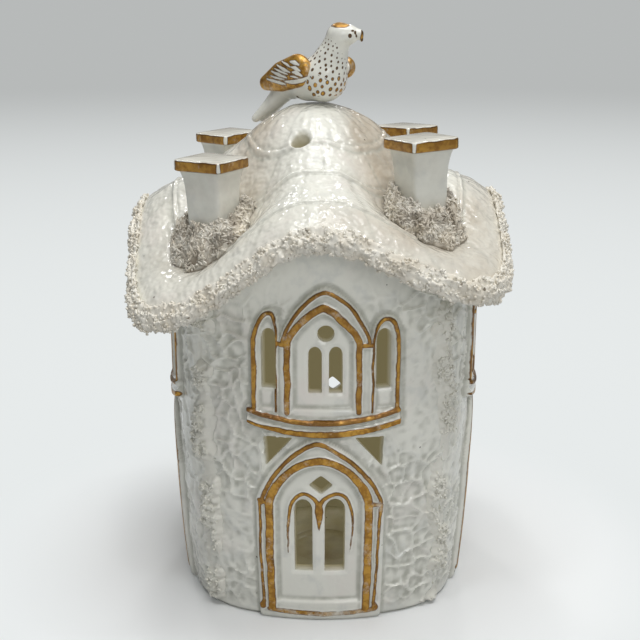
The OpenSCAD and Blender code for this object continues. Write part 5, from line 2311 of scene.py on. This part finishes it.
        lowest = places.min(axis=0) - np.array([2, 3.4, 4.6])
        points, quads = self.mesh(distance, lowest, places.max(axis=0) + np.array([4.8, 3.4, 4.8]) - lowest)
        rim = outline(points * side_view)
        gilt = np.where(across(points) > 0.15, -streaked(points), 0.55 + rim)
        numbers = {"gilt": gilt, "wear": np.full(len(points), self.wing_wear)}
        name = f"bird_{hand.label}_wing"
        piece = write_piece(f"gilded_{name}", self.to_tower(points), [quads], numbers, self.sharp_angle)
        dress(piece, finishes.porcelain, HOUSE, "bird_gilding", name)


@dataclass
class PastilleStand:
    """The low round stand that the house is set over, with a rim and a hollow for the pastille."""

    radius: float = 26
    height: float = 3.6
    floor: float = 2
    hollow_radius: float = 9
    hollow_depth: float = 0.8
    flare: float = 3
    rim: float = 2
    around: int = 160
    gilt_half: float = 0.55
    gilt_wear: float = 0.35

    def profile(self) -> Array:
        """The stand's section, from the middle of its foot round the rim to the middle of its hollow.

        Returns:
            Reach and height, one pair per row.
        """
        foot, inside = self.radius - self.flare, self.radius - self.rim
        hollow, bottom = self.hollow_radius, self.floor - self.hollow_depth
        section = [
            (0.3, 0.02),
            (foot - 1, 0.0),
            (foot, 0.12),
            (self.radius - 0.35, self.height - 0.6),
            (self.radius - 0.1, self.height - 0.15),
            (self.radius - 0.5, self.height),
            (inside, self.height - 0.03),
            (inside - 1.2, self.floor + 0.35),
            (inside - 2.4, self.floor),
            (hollow + 0.9, self.floor),
            (hollow, self.floor - 0.15),
            (hollow - 1, bottom),
            (hollow - 2.5, bottom),
            (0.3, bottom),
        ]
        return spline(section, 6)

    def build(self, finishes: Finishes) -> None:
        """Makes the stand: its soft-edged section turned about the axis.

        Args:
            finishes: The burner's finishes.
        """
        profile = self.profile()
        reach, angle = np.meshgrid(profile[:, 0], round_angles(self.around), indexing="ij")
        z = np.broadcast_to(np.maximum(profile[:, 1:], 0), reach.shape)
        place = polar(reach, angle, z)
        ends = np.array([[0, 0, z[0, 0]], [0, 0, z[-1, -1]]])
        scorch = np.exp(-((reach / (1.25 * self.hollow_radius)) ** 4)) * (z > 0.5)
        stain = scorch * (0.45 + 0.4 * soft_noise(place, 5, 121, 3))
        edge = np.abs(reach - (self.radius - 0.5))
        gilt = self.gilt_half - edge + np.minimum(z - self.height + 0.2, 0)
        numbers = {
            "stain": np.append(np.clip(stain, 0, 1).ravel(), [0, 0.5]),
            "gilt": np.append(gilt.ravel(), [UNPAINTED, UNPAINTED]),
            "wear": np.full(reach.size + 2, self.gilt_wear),
        }
        points = np.vstack([place.reshape(-1, 3), ends])
        faces = list(tube_faces(len(profile), self.around))
        piece = write_piece("turned_pastille_stand", points, faces, numbers)
        dress(piece, finishes.porcelain, STAND, "white_glaze", "pastille_stand")


@dataclass(frozen=True)
class Lamp:
    """A square soft lamp aimed at a point, in metres and watts."""

    name: str
    place: tuple
    aim: tuple
    size: float
    power: float

    def build(self) -> None:
        """Hangs the lamp."""
        data = bpy.data.lights.new(self.name, "AREA")
        data.size = self.size
        data.energy = self.power
        lamp = bpy.data.objects.new(self.name, data)
        lamp.location = self.place
        lamp.rotation_euler = (Vector(self.aim) - Vector(self.place)).to_track_quat("-Z", "Y").to_euler()
        bpy.context.scene.collection.objects.link(lamp)


@dataclass
class Studio:
    """A pale floor that fades to grey with distance, soft light from above and the photograph's camera.

    The camera's place is in millimetres, and the floor's and the lamps' measures are in metres.
    """

    camera_at: tuple = (-0.83, -273.0, 142.5)
    pitch: float = 0.281
    lens: float = 64.0
    sensor: float = 36
    clip: tuple = (0.01, 50)
    floor_radius: float = 6.0
    floor_z: float = -0.00002
    floor_rings: int = 24
    floor_around: int = 96
    paper: tuple = (0.50, 0.505, 0.51, 1)
    seen_paper: tuple = (0.87, 0.88, 0.88, 1)
    near_white: tuple = (0.80, 0.83, 0.83, 1)
    far_grey: tuple = (0.475, 0.49, 0.487, 1)
    surround: tuple = (0.16, 0.165, 0.165, 1)
    fade_reach: tuple = (0.1, 1.6)
    lit_reach: tuple = (0.045, 0.1)
    ceiling: Lamp = Lamp("ceiling_lamp", (0.12, -0.08, 1.2), (0, 0, 0.08), size=0.9, power=8.0)
    fill: Lamp = Lamp("front_fill", (0.38, -1.05, 0.58), (0, 0, 0.07), size=0.6, power=3.6)
    front_glints: tuple = ((-0.2, -0.28, 0.8), (0.25, -0.05, 0.8), (0.08, -0.36, 0.9))
    back_glints: tuple = ((-0.08, 0.12, 0.85), (-0.27, 0.6, 0.6), (0.12, 0.66, 0.62))
    glint_aim: tuple = (0, 0, 0.1)
    glint_size: float = 0.08
    glint_power: float = 0.5

    def add_camera(self) -> None:
        """Sets the camera where the photograph was taken from."""
        data = bpy.data.cameras.new("camera")
        data.lens = self.lens
        data.sensor_width = self.sensor
        data.clip_start, data.clip_end = self.clip
        camera = bpy.data.objects.new("camera", data)
        camera.location = Vector(self.camera_at) * MM
        camera.rotation_euler = (math.pi / 2 - self.pitch, 0, 0)
        bpy.context.scene.collection.objects.link(camera)
        bpy.context.scene.camera = camera

    def add_floor(self) -> None:
        """A round floor: rings of points, with a material that keeps the shadow near the object."""
        rings, around = self.floor_rings, self.floor_around
        reach = self.floor_radius / MM * np.linspace(0.0005, 1, rings) ** 3
        reach, angle = np.meshgrid(reach, round_angles(around), indexing="ij")
        points = polar(reach, angle, np.full(reach.shape, self.floor_z / MM)).reshape(-1, 3) * MM
        mesh = bpy.data.meshes.new("floor")
        mesh.from_pydata(points.tolist(), [], grid_quads(rings, around, True).tolist())
        mesh.materials.append(self.floor_material())
        floor = bpy.data.objects.new("floor", mesh)
        bpy.context.scene.collection.objects.link(floor)

    def floor_material(self) -> bpy.types.Material:
        """Pale matt paper: lit near the object, and seen as a plain fade of grey further out.

        Returns:
            The material.
        """
        material = bpy.data.materials.new("studio_paper")
        material.use_nodes = True
        sheet = NodeSheet(material.node_tree)
        place = sheet.coordinates()
        reach = sheet.add("ShaderNodeVectorMath", {0: place}, operation="LENGTH").outputs["Value"]
        fade = sheet.mix(sheet.span(reach, *self.fade_reach), self.near_white, self.far_grey)
        glow = sheet.add("ShaderNodeEmission", {"Color": fade})
        path = sheet.add("ShaderNodeLightPath")
        seen = sheet.math("MAXIMUM", path.outputs["Is Camera Ray"], path.outputs["Is Glossy Ray"])
        seen = sheet.math("MAXIMUM", seen, path.outputs["Is Transmission Ray"])
        share = sheet.times(seen, sheet.span(reach, *self.lit_reach))
        lit = sheet.add("ShaderNodeBsdfDiffuse", {"Color": sheet.mix(seen, self.paper, self.seen_paper)})
        both = sheet.add("ShaderNodeMixShader", {0: share, 1: lit.outputs[0], 2: glow.outputs[0]})
        sheet.add("ShaderNodeOutputMaterial", {"Surface": both.outputs[0]})
        return material

    def light(self) -> None:
        """Soft even light: a pale surround, a broad lamp above, a weak fill and small lamps for glints."""
        world = bpy.data.worlds.new("surround")
        world.use_nodes = True
        sheet = NodeSheet(world.node_tree)
        path = sheet.add("ShaderNodeLightPath")
        seen = sheet.math("MAXIMUM", path.outputs["Is Camera Ray"], path.outputs["Is Transmission Ray"])
        colour = sheet.mix(seen, self.surround, self.far_grey)
        surround = sheet.add("ShaderNodeBackground", {"Color": colour})
        sheet.add("ShaderNodeOutputWorld", {"Surface": surround.outputs[0]})
        bpy.context.scene.world = world
        self.ceiling.build()
        self.fill.build()
        for index, place in enumerate(self.front_glints + self.back_glints):
            Lamp(f"glint_{index}", place, self.glint_aim, self.glint_size, self.glint_power).build()

    def build(self) -> None:
        """Sets the stage."""
        self.add_camera()
        self.add_floor()
        self.light()
        bpy.context.scene.view_settings.view_transform = "Standard"


# The back wall's diamond light lies further to its left: it shows through a light of the front wall.
BACK_DIAMOND = (-2.9, 35.2, 2.95, 2.5)
CHIMNEY_TURNS = {
    Corner.FRONT_LEFT: math.radians(-30),
    Corner.FRONT_RIGHT: math.radians(30),
    Corner.BACK_RIGHT: math.radians(45),
    Corner.BACK_LEFT: math.radians(45),
}


def main() -> None:
    """Builds the burner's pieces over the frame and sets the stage."""
    logging.basicConfig(level=logging.INFO, format="%(name)s: %(message)s")
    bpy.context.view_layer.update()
    finishes = Finishes()
    roof_form, tower_form = RoofForm(), TowerForm()
    patterns = {Side.BACK: WallPattern(diamond=BACK_DIAMOND)}
    PastilleStand().build(finishes)
    Roof(roof_form).build(finishes)
    for side in Side:
        Wall(side, tower_form, roof_form, patterns.get(side, WallPattern())).build(finishes)
        EaveMoss(side, roof_form).build(finishes)
    for corner in Corner:
        CornerCreeper(corner, tower_form, roof_form).build(finishes)
        Chimney(corner, roof_form, CHIMNEY_TURNS[corner]).build(finishes)
        ChimneyMoss(corner, roof_form, CHIMNEY_TURNS[corner]).build(finishes)
    bird = Bird(roof_form)
    bird.build_body(finishes)
    for hand in Hand:
        bird.build_wing(hand, finishes)
    Studio().build()


if __name__ == "__main__":
    main()
